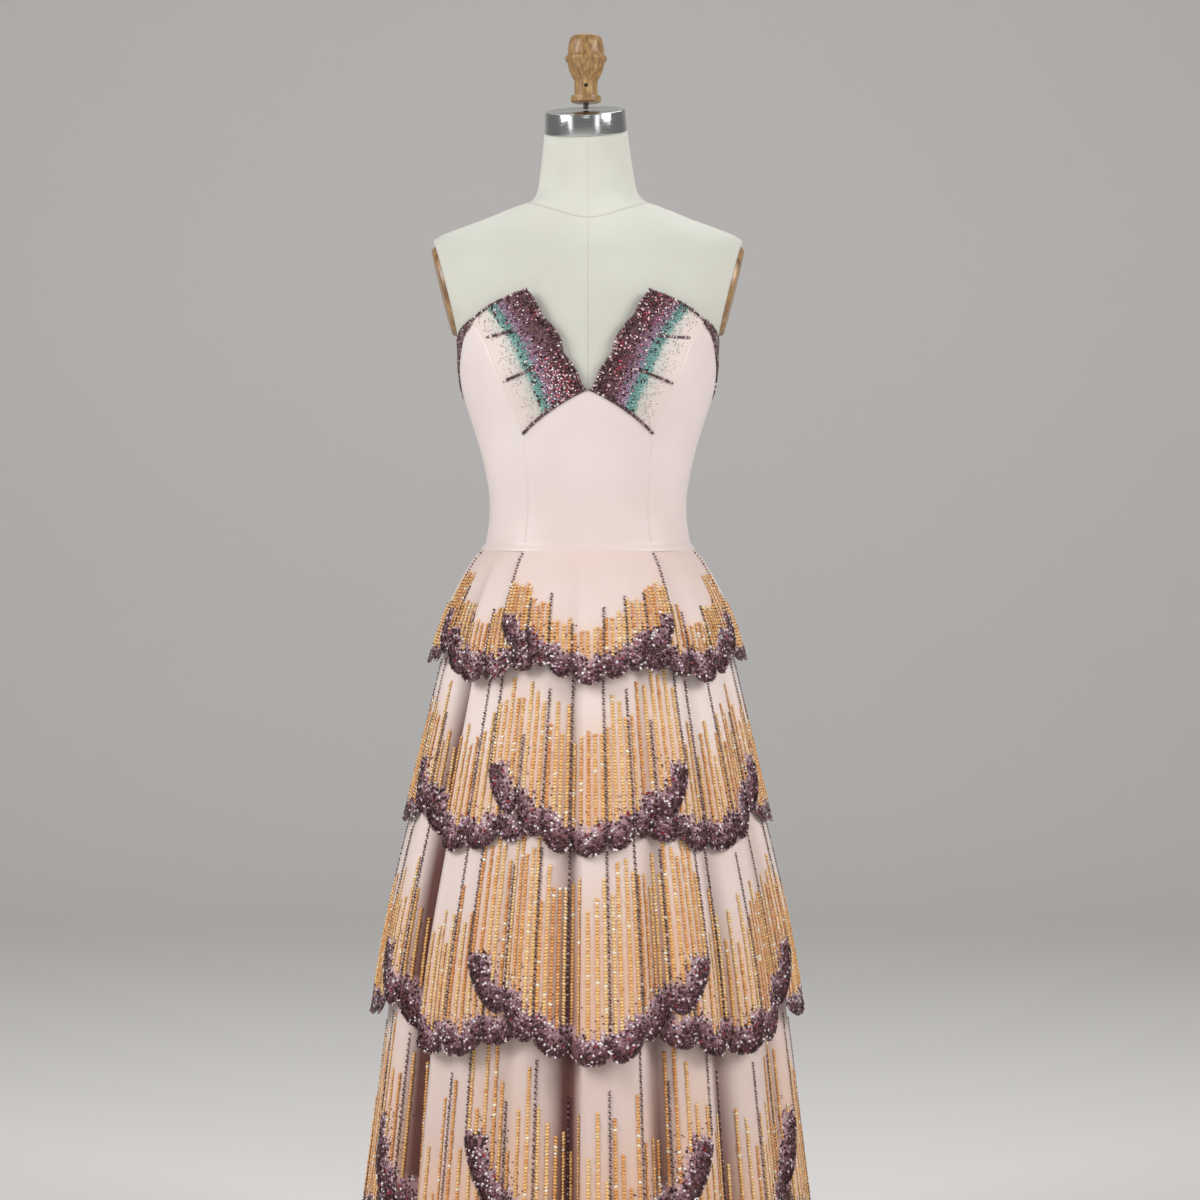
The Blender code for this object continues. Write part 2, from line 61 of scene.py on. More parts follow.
camera_data = bpy.data.cameras.new("camera")
camera_data.sensor_width = 36.0
camera_data.lens = camera_data.sensor_width * FOCAL_PX / PHOTO_WIDTH_PX
camera_data.shift_x = (PHOTO_WIDTH_PX / 2 - CENTRE_LINE_PX) / PHOTO_WIDTH_PX
camera_data.shift_y = (HORIZON_PX - PHOTO_WIDTH_PX / 2) / PHOTO_WIDTH_PX
camera = bpy.data.objects.new("camera", camera_data)
camera.location = (0.0, -CAMERA_AWAY, CAMERA_HEIGHT)
camera.rotation_euler = (math.pi / 2, 0.0, 0.0)
bpy.context.scene.collection.objects.link(camera)
bpy.context.scene.camera = camera


class Strand:
    """A socket of a material, on which sums are written as Python."""

    def __init__(self, finish, socket):
        self.finish, self.socket = finish, socket

    def sum(self, operation, *terms):
        inputs = dict(enumerate(terms))
        return self.finish.add("ShaderNodeMath", inputs, operation=operation)

    def __add__(self, other):
        return self.sum("ADD", self, other)

    def __sub__(self, other):
        return self.sum("SUBTRACT", self, other)

    def __rsub__(self, other):
        return self.sum("SUBTRACT", other, self)

    def __mul__(self, other):
        return self.sum("MULTIPLY", self, other)

    def __abs__(self):
        return self.sum("ABSOLUTE", self)

    def below(self, limit, blur):
        """1 where the strand is under the limit and 0 over it, with a soft step between."""
        inputs = {"Value": self, "From Min": limit - blur, "From Max": limit + blur, "To Min": 1.0, "To Max": 0.0}
        return self.finish.add("ShaderNodeMapRange", inputs)

    __radd__, __rmul__ = __add__, __mul__


class Finish:
    """A material built from nodes, round one Principled BSDF, with colours given as 0 to 255."""

    def __init__(self, name, colour, **constants):
        self.material = bpy.data.materials.new(name)
        self.material.use_nodes = True
        self.tree = self.material.node_tree
        self.shader = self.tree.nodes["Principled BSDF"]
        self.material.diffuse_color = linear(colour)
        self.feed("Base Color", linear(colour))
        for words, value in constants.items():
            self.feed(words.replace("_", " ").title(), value)

    def add(self, kind, inputs=None, output=0, **settings):
        node = self.tree.nodes.new(kind)
        for name, value in settings.items():
            setattr(node, name, value)
        for name, value in (inputs or {}).items():
            self.join(node.inputs[name], value)
        return Strand(self, node.outputs[output])

    def join(self, socket, value):
        if isinstance(value, Strand):
            self.tree.links.new(value.socket, socket)
        else:
            socket.default_value = value

    def feed(self, name, value):
        self.join(self.shader.inputs[name], value)

    def place(self, scale=(1.0, 1.0, 1.0), on="Object"):
        """The point of the surface, as object coordinates or UV, stretched by scale."""
        point = self.add("ShaderNodeTexCoord", output=on)
        return self.add("ShaderNodeMapping", {"Vector": point, "Scale": scale})

    def noise(self, scale, detail=3.0, stretch=(1.0, 1.0, 1.0), on="Object"):
        vector = self.place(stretch, on)
        return self.add("ShaderNodeTexNoise", {"Vector": vector, "Scale": scale, "Detail": detail})

    def mark(self, name):
        """A value that the piece's mesh carries from point to point."""
        return self.add("ShaderNodeAttribute", output="Fac", attribute_name=name)

    def number(self, vector, axis):
        """One of the three numbers of a vector."""
        return self.add("ShaderNodeSeparateXYZ", {"Vector": vector}, output=axis)

    def ramp(self, strand, stops):
        """Colours along a strand, from stops of (place, colour)."""
        made = self.add("ShaderNodeValToRGB", {"Fac": strand})
        band = made.socket.node.color_ramp
        while len(band.elements) < len(stops):
            band.elements.new(1.0)
        for element, (spot, colour) in zip(band.elements, stops):
            element.position = spot
            element.color = linear(colour)
        return made

    def blend(self, share, first, second):
        """One colour turning into another as share goes from 0 to 1."""
        inputs = {0: share, 6: linear(first), 7: linear(second)}
        return self.add("ShaderNodeMix", inputs, output=2, data_type="RGBA")

    def bump(self, height, distance, strength=1.0):
        inputs = {"Height": height, "Distance": distance, "Strength": strength}
        self.feed("Normal", self.add("ShaderNodeBump", inputs))


def chart(columns, rows):
    """A table as rows whose values go by the names of their columns."""
    Row = namedtuple("Row", columns)
    return [Row(*row) for row in rows]


def linear(colour):
    """A colour read off as 0 to 255, as the linear values and alpha that a socket takes."""
    if isinstance(colour, Strand):
        return colour
    shares = (part / 255 for part in colour)
    return (*(part / 12.92 if part <= 0.04045 else ((part + 0.055) / 1.055) ** 2.4 for part in shares), 1.0)


def add_piece(name, bm, finish):
    """A smooth-shaded object at the origin from a bmesh."""
    mesh = bpy.data.meshes.new(name)
    bm.to_mesh(mesh)
    bm.free()
    mesh.materials.append(finish.material)
    mesh.shade_smooth()
    piece = bpy.data.objects.new(name, mesh)
    bpy.context.scene.collection.objects.link(piece)
    return piece


def reshape(bm, place):
    """Moves all the vertices of a bmesh at once, to place(their coordinates)."""
    found = np.array([vert.co for vert in bm.verts])
    for vert, spot in zip(bm.verts, place(found)):
        vert.co = spot


backdrop = Finish("pale paper sweep", (236, 234, 232), roughness=0.9)
backdrop.bump(backdrop.noise(40.0), 0.0004, 0.3)
bm = bmesh.new()
bmesh.ops.create_grid(bm, x_segments=2, y_segments=48, size=1.0)


def sweep_place(found):
    run, bend = SWEEP_FRONT + SWEEP_RUN * (found[:, 1] + 1.0) / 2.0, SWEEP_BACK - SWEEP_ROUND
    turn = np.clip((run - bend) / SWEEP_ROUND, 0.0, math.pi / 2)
    past = np.clip(run - bend - SWEEP_ROUND * math.pi / 2, 0.0, None)
    along, up = np.minimum(run, bend) + SWEEP_ROUND * np.sin(turn), SWEEP_ROUND * (1 - np.cos(turn)) + past
    return np.stack([found[:, 0] * SWEEP_HALF_WIDTH, along, up], axis=1)


reshape(bm, sweep_place)
add_piece("sweep", bm, backdrop)

PANELS = chart("name spot width height watts", (
    ("key_panel", (-2.8, -1.6, 2.6), 1.3, 1.8, 82.0),
    ("fill_panel", (2.8, -1.6, 2.6), 1.3, 1.8, 76.0),
    ("front_panel", (0.1, -4.2, 2.6), 1.2, 1.2, 12.0),
    ("top_panel", (0.3, 1.2, 3.0), 1.6, 1.0, 14.0),
    ("left_strip", (-2.1, -2.2, 1.5), 0.25, 1.8, 6.0),
    ("right_strip", (1.7, -2.6, 1.5), 0.35, 1.8, 6.0),
))
for panel in PANELS:
    light = bpy.data.lights.new(panel.name, "AREA")
    light.shape = "RECTANGLE"
    light.size, light.size_y = panel.width, panel.height
    light.energy = panel.watts
    lamp = bpy.data.objects.new(panel.name, light)
    lamp.location = panel.spot
    lamp.rotation_euler = (Vector((0.0, 0.0, 1.1)) - Vector(panel.spot)).to_track_quat("-Z", "Y").to_euler()
    bpy.context.scene.collection.objects.link(lamp)
world = bpy.data.worlds.new("studio air")
world.use_nodes = True
world.node_tree.nodes["Background"].inputs["Color"].default_value = (1.0, 0.985, 0.97, 1.0)
world.node_tree.nodes["Background"].inputs["Strength"].default_value = 0.22
bpy.context.scene.world = world
bpy.context.scene.view_settings.view_transform = "Standard"


# Body of the dress form: papier-mache padded and covered in off-white linen, cut in gores that meet
# at a centre front seam, side seams and a seam round the foot of the neck.
BODY = chart("height half_width front back squareness", (
    (0.770, 0.154, 0.110, 0.116, 2.15), (0.820, 0.158, 0.111, 0.120, 2.15),
    (0.870, 0.154, 0.108, 0.116, 2.15), (0.920, 0.142, 0.103, 0.106, 2.15),
    (0.955, 0.132, 0.098, 0.097, 2.20), (0.982, 0.1245, 0.094, 0.090, 2.20),
    (1.005, 0.120, 0.091, 0.086, 2.25), (1.028, 0.118, 0.090, 0.084, 2.25),
    (1.053, 0.1195, 0.092, 0.085, 2.25), (1.080, 0.1245, 0.096, 0.088, 2.25),
    (1.110, 0.132, 0.101, 0.092, 2.25), (1.140, 0.1415, 0.106, 0.096, 2.30),
    (1.170, 0.151, 0.110, 0.099, 2.30), (1.200, 0.1555, 0.112, 0.101, 2.35),
    (1.230, 0.157, 0.110, 0.103, 2.40), (1.260, 0.168, 0.105, 0.103, 2.50),
    (1.290, 0.184, 0.097, 0.100, 2.60), (1.320, 0.191, 0.087, 0.094, 2.60),
    (1.345, 0.194, 0.075, 0.085, 2.40), (1.359, 0.193, 0.066, 0.077, 2.20),
    (1.373, 0.162, 0.057, 0.070, 2.10), (1.385, 0.129, 0.052, 0.066, 2.05),
    (1.397, 0.100, 0.050, 0.064, 2.00), (1.409, 0.067, 0.050, 0.064, 2.00),
))
NECK = chart("height half_width half_depth across ahead tilt roll", (
    (1.422, 0.0605, 0.0560, -0.0010, 0.0060, 4.0, 0.0),
    (1.452, 0.0560, 0.0530, -0.0018, 0.0030, 8.0, 1.0),
    (1.493, 0.0510, 0.0500, -0.0025, 0.0000, 13.0, 2.5),
))
BUST_PUSH, BUST_ANGLE, BUST_HEIGHT = 0.012, 36.0, 1.195
BUST_ANGLE_SPREAD, BUST_HEIGHT_SPREAD = 22.0, 0.055
ARM_CENTRE, ARM_LEAN, ARM_TURN = Vector((0.1745, 0.0, 1.297)), 14.0, 4.0
ARM_LOW, ARM_RELEASE = 1.238, 1.2
NECK_SEAM_SIDE, NECK_SEAM_FRONT = 1.406, 1.384


def read_rows(rows, heights):
    """Every column of a table of sections at these heights, on smooth curves through its rows."""
    table = np.array(sorted(rows))
    places, values = table[:, 0], table[:, 1:]
    last = len(places) - 1
    before = np.maximum(np.arange(last + 1) - 1, 0)
    after = np.minimum(np.arange(last + 1) + 1, last)
    slopes = (values[after] - values[before]) / (places[after] - places[before])[:, None]
    at = np.clip(heights, places[0], places[-1])
    i = np.clip(np.searchsorted(places, at, side="right") - 1, 0, last - 1)
    span = (places[i + 1] - places[i])[:, None]
    t = (at - places[i])[:, None] / span
    mixed = (2 * t**3 - 3 * t**2 + 1) * values[i] + (t**3 - 2 * t**2 + t) * span * slopes[i]
    mixed += (3 * t**2 - 2 * t**3) * values[i + 1] + (t**3 - t**2) * span * slopes[i + 1]
    return mixed.T


def section_points(rows, angles, heights, push):
    """Points on the rounded sections of a table, moved out by push."""
    half_width, front, back, squareness = read_rows(rows, heights)
    across, ahead = np.sin(np.radians(angles)), np.cos(np.radians(angles))
    depth = np.where(ahead >= 0, front, back)
    power = 2.0 / squareness
    x = np.sign(across) * np.abs(across) ** power * (half_width + push)
    y = -np.sign(ahead) * np.abs(ahead) ** power * (depth + push)
    return np.stack([x, y, heights], axis=1)


def body_points(angles, heights, push):
    """Points on the figure, moved out by push, with its bust and its flat armholes."""
    points = section_points(BODY, angles, heights, push)
    turn = (np.abs(angles) - BUST_ANGLE) / BUST_ANGLE_SPREAD
    rise = (heights - BUST_HEIGHT) / BUST_HEIGHT_SPREAD
    points[:, 1] -= BUST_PUSH * np.exp(-turn * turn - rise * rise)
    limit = ARM_CENTRE.x + (heights - ARM_CENTRE.z) * math.tan(math.radians(ARM_LEAN))
    limit += points[:, 1] * math.tan(math.radians(ARM_TURN)) + push
    limit += np.maximum(0.0, ARM_LOW - heights) * ARM_RELEASE
    cut = heights > BODY[13].height
    points[cut, 0] = np.clip(points[cut, 0], -limit[cut], limit[cut])
    return points


def slant(tilt, roll):
    """The turn of a section that dips forward by tilt and to the left by roll, in degrees."""
    return Matrix.Rotation(math.radians(tilt), 3, "X") @ Matrix.Rotation(math.radians(-roll), 3, "Y")


def neck_point(angle, height):
    """A point on the neck at a level of its leaning axis."""
    half_width, half_depth, across, ahead, tilt, roll = read_rows(NECK, np.array([height]))[:, 0]
    flat = Vector((
        half_width * math.sin(math.radians(angle)),
        -half_depth * math.cos(math.radians(angle)),
        0.0,
    ))
    return slant(tilt, roll) @ flat + Vector((across, ahead, height))


def form_place(found):
    """The lathe-like blank of the form, drawn onto the figure and then onto the neck."""
    level = found[:, 2] + 0.5
    angles = np.degrees(np.arctan2(found[:, 0], -found[:, 1]))
    low, high, top = BODY[0].height, BODY[-1].height, NECK[-1].height
    heights = low + (top - low) * level
    points = body_points(angles, np.minimum(heights, high), 0.0)
    for n in np.flatnonzero(heights > high):
        neck = neck_point(angles[n], max(heights[n], NECK[0].height))
        rise = min(1.0, (heights[n] - high) / (NECK[0].height - high))
        points[n] = Vector(points[n]).lerp(neck, rise)
    return points


def label_place(bm):
    """A UV map that reads angle / 360 + 0.5 across and height up, for seams drawn on the form."""
    layer = bm.loops.layers.uv.new("seams")
    for face in bm.faces:
        turns = [math.atan2(loop.vert.co.x, -loop.vert.co.y) / math.tau + 0.5 for loop in face.loops]
        if max(turns) - min(turns) > 0.5:
            turns = [turn + 1.0 if turn < 0.5 else turn for turn in turns]
        for loop, turn in zip(face.loops, turns):
            loop[layer].uv = (turn, loop.vert.co.z)


linen = Finish("off-white linen", (222, 222, 212), roughness=0.82, sheen_weight=0.25, sheen_roughness=0.5)
threads = linen.noise(1.0, 2.0, (900.0, 900.0, 160.0)) + linen.noise(1.0, 2.0, (160.0, 160.0, 900.0))
mottle = linen.noise(9.0, 4.0)
seam_map = linen.add("ShaderNodeUVMap", uv_map="seams")
middle, height_at = abs(linen.number(seam_map, 0) - 0.5), linen.number(seam_map, 1)
front_share = middle.sum("COSINE", middle * (2 * math.tau))
seam_level, seam_swing = (NECK_SEAM_SIDE + NECK_SEAM_FRONT) / 2, (NECK_SEAM_SIDE - NECK_SEAM_FRONT) / 2
neck_seam = abs(height_at - seam_level + front_share * seam_swing)
sewn = middle.sum("MAXIMUM", middle.below(0.0006, 0.0005), neck_seam.below(0.0009, 0.0006))
cloth_colour = linen.ramp(mottle, ((0.3, (206, 205, 194)), (0.7, (219, 219, 210))))
# Painted shade: below the foot of the neck the linen is painted darker, for the weaker light on the chest and
# shoulders.
cloth_colour = linen.blend(height_at.below(1.372, 0.03) * 0.5, cloth_colour, (188, 187, 175))
linen.feed("Base Color", linen.blend(sewn * 0.3, cloth_colour, (150, 142, 126)))
linen.bump(threads * 0.5 + mottle * 0.4 - sewn * 1.2, 0.0006, 0.5)


def rigid_piece(name, bm, finish, node, sharp=180):
    """A piece that stands for one solid, with sharp edges where its faces turn by more than an angle."""
    piece = add_piece(name, bm, finish)
    piece.data.set_sharp_from_angle(angle=math.radians(sharp))
    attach(piece, "root")
    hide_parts(node)


bm = bmesh.new()
bmesh.ops.create_cone(bm, cap_ends=True, segments=96, radius1=1.0, radius2=1.0, depth=1.0)
upright = [edge for edge in bm.edges if abs(edge.verts[0].co.z - edge.verts[1].co.z) > 0.5]
bmesh.ops.subdivide_edges(bm, edges=upright, cuts=118)
reshape(bm, form_place)
label_place(bm)
rigid_piece("form_body_linen", bm, linen, "form_body")


# Neck cap: a spun steel cup pressed over the slanted top of the neck, brushed round its side.
CAP_RADIUS, CAP_HEIGHT, CAP_TAPER = 0.0510, 0.0265, 0.965
CAP_GAP, CAP_RIM = 0.0003, 0.0014

steel = Finish("brushed steel", (176, 178, 182), metallic=1.0, roughness=0.24)
brushing = steel.noise(1.0, 3.0, (30.0, 30.0, 2600.0))
steel.feed("Roughness", brushing * 0.14 + 0.08)
steel.feed("Base Color", steel.ramp(brushing, ((0.3, (184, 186, 186)), (0.7, (218, 220, 220)))))
steel.bump(brushing, 0.0002, 0.35)

bm = bmesh.new()
sizes = {"radius1": CAP_RADIUS, "radius2": CAP_RADIUS * CAP_TAPER, "depth": CAP_HEIGHT}
bmesh.ops.create_cone(bm, cap_ends=True, segments=96, **sizes)
rims = [edge for edge in bm.edges if abs(edge.verts[0].co.z - edge.verts[1].co.z) < 1e-6]
bmesh.ops.bevel(bm, geom=rims, offset=CAP_RIM, segments=3, affect="EDGES", profile=0.5, material=-1)
neck_top = NECK[-1]
cap_turn = slant(neck_top.tilt, neck_top.roll)
cap_centre = Vector((neck_top.across, neck_top.ahead, neck_top.height))
cap_centre += cap_turn @ Vector((0.0, 0.0, CAP_GAP + CAP_HEIGHT / 2))
bmesh.ops.transform(bm, matrix=Matrix.Translation(cap_centre) @ cap_turn.to_4x4(), verts=bm.verts)
rigid_piece("neck_cap_steel", bm, steel, "form_neck_cap", 50)


# Finial and rod: a turned knob of waxed wood with a ring bead and a small peg hole, shown as a dark disc of
# painted shade, on a threaded rod that comes up through the cap.
ProfilePoint = namedtuple("ProfilePoint", "radius height")
FINIAL = chart("radius height", (
    (0.0000, 1.6135), (0.0080, 1.6134), (0.0130, 1.6130), (0.0172, 1.6112), (0.0190, 1.6090),
    (0.0208, 1.6040), (0.0218, 1.5980), (0.0222, 1.5920), (0.0226, 1.5882), (0.0250, 1.5862),
    (0.0258, 1.5833), (0.0250, 1.5803), (0.0226, 1.5784), (0.0220, 1.5740), (0.0208, 1.5690),
    (0.0178, 1.5620), (0.0150, 1.5575), (0.0143, 1.5550), (0.0140, 1.5390), (0.0150, 1.5384),
    (0.0182, 1.5377), (0.0186, 1.5340), (0.0182, 1.5305), (0.0160, 1.5293), (0.0000, 1.5293),
))
ROD_RADIUS, THREAD_PITCH, THREAD_DEPTH = 0.0035, 0.0012, 0.0005
PEG_HOLE_RADIUS, PEG_HOLE_HEIGHT, PEG_HOLE_AHEAD = 0.0024, 1.5495, 0.0141


def spin_profile(profile, steps):
    """A closed solid of revolution about the Z axis, from a profile that runs down its outer side."""
    bm = bmesh.new()
    verts = [bm.verts.new((point.radius, 0.0, point.height)) for point in profile]
    edges = [bm.edges.new(pair) for pair in zip(verts, verts[1:])]
    bmesh.ops.spin(
        bm, geom=verts + edges, cent=(0, 0, 0), axis=(0, 0, 1), angle=math.tau, steps=steps, use_merge=True
    )
    bmesh.ops.remove_doubles(bm, verts=bm.verts, dist=0.00001)
    bmesh.ops.recalc_face_normals(bm, faces=bm.faces)
    return bm


wood = Finish("waxed wood", (160, 122, 74), roughness=0.5, coat_weight=0.25, coat_roughness=0.35)
pores = wood.noise(260.0, 5.0, (1.0, 1.0, 0.35))
rings = wood.noise(60.0, 3.0, (1.0, 1.0, 0.25))
grain_colour = wood.ramp(pores, ((0.25, (96, 66, 34)), (0.5, (158, 120, 70)), (0.75, (205, 168, 110))))
wood.feed("Base Color", wood.blend(rings * 0.4, grain_colour, (122, 88, 48)))
wood.feed("Roughness", pores * 0.3 + 0.35)
wood.bump(pores, 0.0005, 0.6)

shift = Matrix.Translation((neck_top.across, 0.0, 0.0))
bm = spin_profile(FINIAL, 48)
bmesh.ops.transform(bm, matrix=shift, verts=bm.verts)
rigid_piece("finial_turned", bm, wood, "form_finial", 45)

# Painted shade: the peg hole is not cut. A thin dark disc on the knob's front is painted the colour of the shade
# inside a hole.
peg_hole_shade = Finish("painted peg hole shade", (28, 20, 14), roughness=0.9)
peg_hole_shade.feed("Base Color", peg_hole_shade.ramp(peg_hole_shade.noise(500.0), ((0.3, (20, 14, 10)), (0.7, (40, 28, 18)))))
bm = bmesh.new()
bmesh.ops.create_cone(bm, cap_ends=True, segments=20, radius1=PEG_HOLE_RADIUS, radius2=PEG_HOLE_RADIUS, depth=0.0004)
front_face = Matrix.Translation((neck_top.across, -PEG_HOLE_AHEAD, PEG_HOLE_HEIGHT))
bmesh.ops.transform(bm, matrix=front_face @ Matrix.Rotation(math.pi / 2, 4, "X"), verts=bm.verts)
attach(add_piece("finial_peg_hole_painted_shade", bm, peg_hole_shade), "root")

rod_low, rod_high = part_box("form_finial_rod")
dark_steel = Finish("blued steel thread", (70, 66, 64), metallic=0.9, roughness=0.4)
dark_steel.feed("Roughness", dark_steel.noise(900.0) * 0.3 + 0.25)
turns = max(2, round((rod_high.z - rod_low.z) / THREAD_PITCH))
thread = [ProfilePoint(0.0, rod_high.z)]
for n in range(turns):
    crest = rod_high.z - (n + 0.25) * (rod_high.z - rod_low.z) / turns
    root = rod_high.z - (n + 0.75) * (rod_high.z - rod_low.z) / turns
    thread += [ProfilePoint(ROD_RADIUS, crest), ProfilePoint(ROD_RADIUS - THREAD_DEPTH, root)]
thread.append(ProfilePoint(0.0, rod_low.z))
bm = spin_profile(thread, 24)
bmesh.ops.transform(bm, matrix=shift, verts=bm.verts)
rigid_piece("finial_rod_threaded", bm, dark_steel, "form_finial_rod")


# Arm plates: oval caps of varnished wood that close the form's armholes, each with a rounded edge
# and a linen turning at its rim.
ARM_HALF_HEIGHT, ARM_HALF_DEPTH, ARM_PLATE, ARM_PLATE_RIM = 0.057, 0.044, 0.005, 0.0018

plate_wood = Finish("varnished plate wood", (150, 112, 66), roughness=0.4, coat_weight=0.4, coat_roughness=0.2)
plate_grain = plate_wood.noise(12.0, 4.0, (1.0, 14.0, 1.5))
plate_wood.feed("Base Color", plate_wood.ramp(plate_grain, ((0.3, (104, 70, 36)), (0.7, (176, 138, 88)))))
plate_wood.bump(plate_grain, 0.0003, 0.4)
for side, word in ((-1, "left"), (1, "right")):
    bm = bmesh.new()
    bmesh.ops.create_cone(bm, cap_ends=True, segments=72, radius1=1.0, radius2=0.94, depth=ARM_PLATE)
    size = Matrix.Diagonal((ARM_HALF_HEIGHT, ARM_HALF_DEPTH, 1.0))
    bmesh.ops.transform(bm, matrix=size.to_4x4(), verts=bm.verts)
    outer_rim = [edge for edge in bm.edges if all(vert.co.z > 0.001 for vert in edge.verts)]
    bmesh.ops.bevel(bm, geom=outer_rim, offset=ARM_PLATE_RIM, segments=3, affect="EDGES", profile=0.5, material=-1)
    along = Vector((side, -math.tan(math.radians(ARM_TURN)), -math.tan(math.radians(ARM_LEAN)))).normalized()
    up = Vector((side * math.tan(math.radians(ARM_LEAN)), 0.0, 1.0)).normalized()
    turn = Matrix((up, along.cross(up), along)).transposed()
    centre = Vector((side * ARM_CENTRE.x, ARM_CENTRE.y, ARM_CENTRE.z)) + along * (CAP_GAP + ARM_PLATE / 2)
    bmesh.ops.transform(bm, matrix=Matrix.Translation(centre) @ turn.to_4x4(), verts=bm.verts)
    rigid_piece(f"arm_plate_{word}_wood", bm, plate_wood, f"form_arm_plate_{word}", 50)


# Stand: a heavy round base of cast iron in black paint, with a plain steel pole up to the form.
STAND_BASE = chart("radius height", (
    (0.0000, 0.0480), (0.0160, 0.0480), (0.0190, 0.0466), (0.0202, 0.0430), (0.0210, 0.0330),
    (0.0235, 0.0245), (0.0330, 0.0208), (0.0600, 0.0170), (0.1050, 0.0142), (0.1490, 0.0112),
    (0.1570, 0.0095), (0.1600, 0.0060), (0.1600, 0.0000), (0.0000, 0.0000),
))
POLE_RADIUS = 0.0125

iron = Finish("black painted iron", (30, 30, 32), roughness=0.45, coat_weight=0.3, coat_roughness=0.3)
casting = iron.noise(320.0, 4.0)
iron.feed("Roughness", casting * 0.3 + 0.32)
iron.bump(casting, 0.0004, 0.5)
rigid_piece("stand_base_iron", spin_profile(STAND_BASE, 96), iron, "stand_base", 45)

pole_low, pole_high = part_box("stand_pole")
POLE = chart("radius height", (
    (0.0, pole_high.z), (POLE_RADIUS, pole_high.z), (POLE_RADIUS, pole_low.z), (0.0, pole_low.z),
))
rigid_piece("stand_pole_steel", spin_profile(POLE, 48), steel, "stand_pole", 45)


# Bodice: five panels of heavy blush satin, joined by princess seams, side seams and a centre back
# seam, and cut to the figure. They end at the waist seam.
BODICE_WALL, BODICE_CLEAR, SEAM_GAP, SEAM_TURN = 0.0013, 0.0014, 0.0003, 0.004
WAIST_SEAM = 0.982
FRONT_SEAM = chart("height angle", (
    (0.982, 35.2), (1.060, 33.5), (1.120, 31.6), (1.170, 37.0), (1.210, 44.0), (1.257, 53.0),
))
TOP_EDGE = chart("angle height", (
    (53.0, 1.2570), (75.0, 1.2380), (90.0, 1.2200), (102.0, 1.1900),
    (116.0, 1.1640), (145.0, 1.1560), (180.0, 1.1540),
))
V_BOTTOM, V_ANGLE, CUP_BOTTOM_OUTER = 1.172, 0.8, 1.120


def front_seam(heights):
    return read_rows(FRONT_SEAM, np.asarray(heights, float))[0]


def top_edge(angles):
    return read_rows(TOP_EDGE, np.asarray(angles, float))[0]


def cup_bottom(angles):
    share = np.abs(angles) / front_seam(np.array([CUP_BOTTOM_OUTER]))
    return V_BOTTOM + (CUP_BOTTOM_OUTER - V_BOTTOM) * share


def centre_panel(u, v):
    low = WAIST_SEAM + SEAM_GAP
    side = 2.0 * u - 1.0
    reach = front_seam(np.array([CUP_BOTTOM_OUTER])) * np.abs(side)
    heights = low + (cup_bottom(reach) - SEAM_GAP - low) * v
    edge = front_seam(np.minimum(heights, CUP_BOTTOM_OUTER)) - SEAM_TURN
    return side * edge, heights


def side_panel(out, v):
    low, inner_top = WAIST_SEAM + SEAM_GAP, FRONT_SEAM[-1]
    high = top_edge(inner_top.angle + (90.0 - inner_top.angle) * out)
    heights = low + (high - low) * v
    inner = front_seam(heights) + SEAM_TURN
    return inner + (90.0 - SEAM_TURN - inner) * out, heights


def back_panel(out, v):
    low = WAIST_SEAM + SEAM_GAP
    angles = 90.0 + SEAM_TURN + (90.0 - 2.0 * SEAM_TURN) * out
    return angles, low + (top_edge(angles) - low) * v


def cloth_shell(name, columns, rows, place, wall, finish, nodes, marks=None):
    """A thin sheet laid out by place(u, v), with its wall outwards, that stands for these solids.

    marks gives named values for each point, which the finish reads as attributes.
    """
    bm = bmesh.new()
    bmesh.ops.create_grid(bm, x_segments=columns, y_segments=rows, size=1.0)
    flat = (np.array([vert.co for vert in bm.verts]) + 1.0) / 2.0
    u, v = flat[:, 0], flat[:, 1]
    points = place(u, v)
    for vert, spot in zip(bm.verts, points):
        vert.co = spot
    area = sum(face.calc_area() for face in bm.faces)
    grid = points[np.lexsort((np.round(u * columns), np.round(v * rows)))].reshape(rows + 1, columns + 1, 3)
    width = np.linalg.norm(np.diff(grid, axis=1), axis=2).sum(axis=1).max()
    length = np.linalg.norm(np.diff(grid, axis=0), axis=2).sum(axis=0).max()
    layer = bm.loops.layers.uv.new("cloth")
    for face in bm.faces:
        for loop in face.loops:
            loop[layer].uv = (u[loop.vert.index] * width, v[loop.vert.index] * length)
    piece = add_piece(name, bm, finish)
    for word, values in (marks or {}).items():
        mark = piece.data.attributes.new(word, "FLOAT", "POINT")
        mark.data.foreach_set("value", np.asarray(values(u, v), np.float32))
    solidify = piece.modifiers.new("wall", "SOLIDIFY")
    solidify.thickness = wall
    solidify.offset = 1.0
    piece.modifiers.new("even shading", "WEIGHTED_NORMAL").weight = 100
    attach(piece, "root")
    if nodes:
        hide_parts(*nodes)


satin = Finish("blush satin", (240, 224, 220), roughness=0.42, sheen_weight=0.45, sheen_roughness=0.35)
satin_threads = satin.noise(1.0, 2.0, (1500.0, 260.0, 1.0), "UV")
satin_slubs = satin.noise(1.0, 3.0, (18.0, 420.0, 1.0), "UV")
satin_cloud = satin.noise(6.0, 3.0)
satin_tone = satin.ramp(satin_cloud, ((0.3, (226, 210, 206)), (0.7, (235, 223, 220))))
waist_shade = satin.number(satin.place(), 2).below(1.03, 0.07) * 0.35
satin_tone = satin.blend(waist_shade, satin_tone, (196, 168, 158))
satin.feed("Base Color", satin.blend(satin_slubs * 0.14, satin_tone, (214, 188, 180)))
satin.feed("Roughness", satin_threads * 0.14 + 0.34)
satin.bump(satin_threads * 0.5 + satin_slubs * 0.5, 0.00025, 0.45)


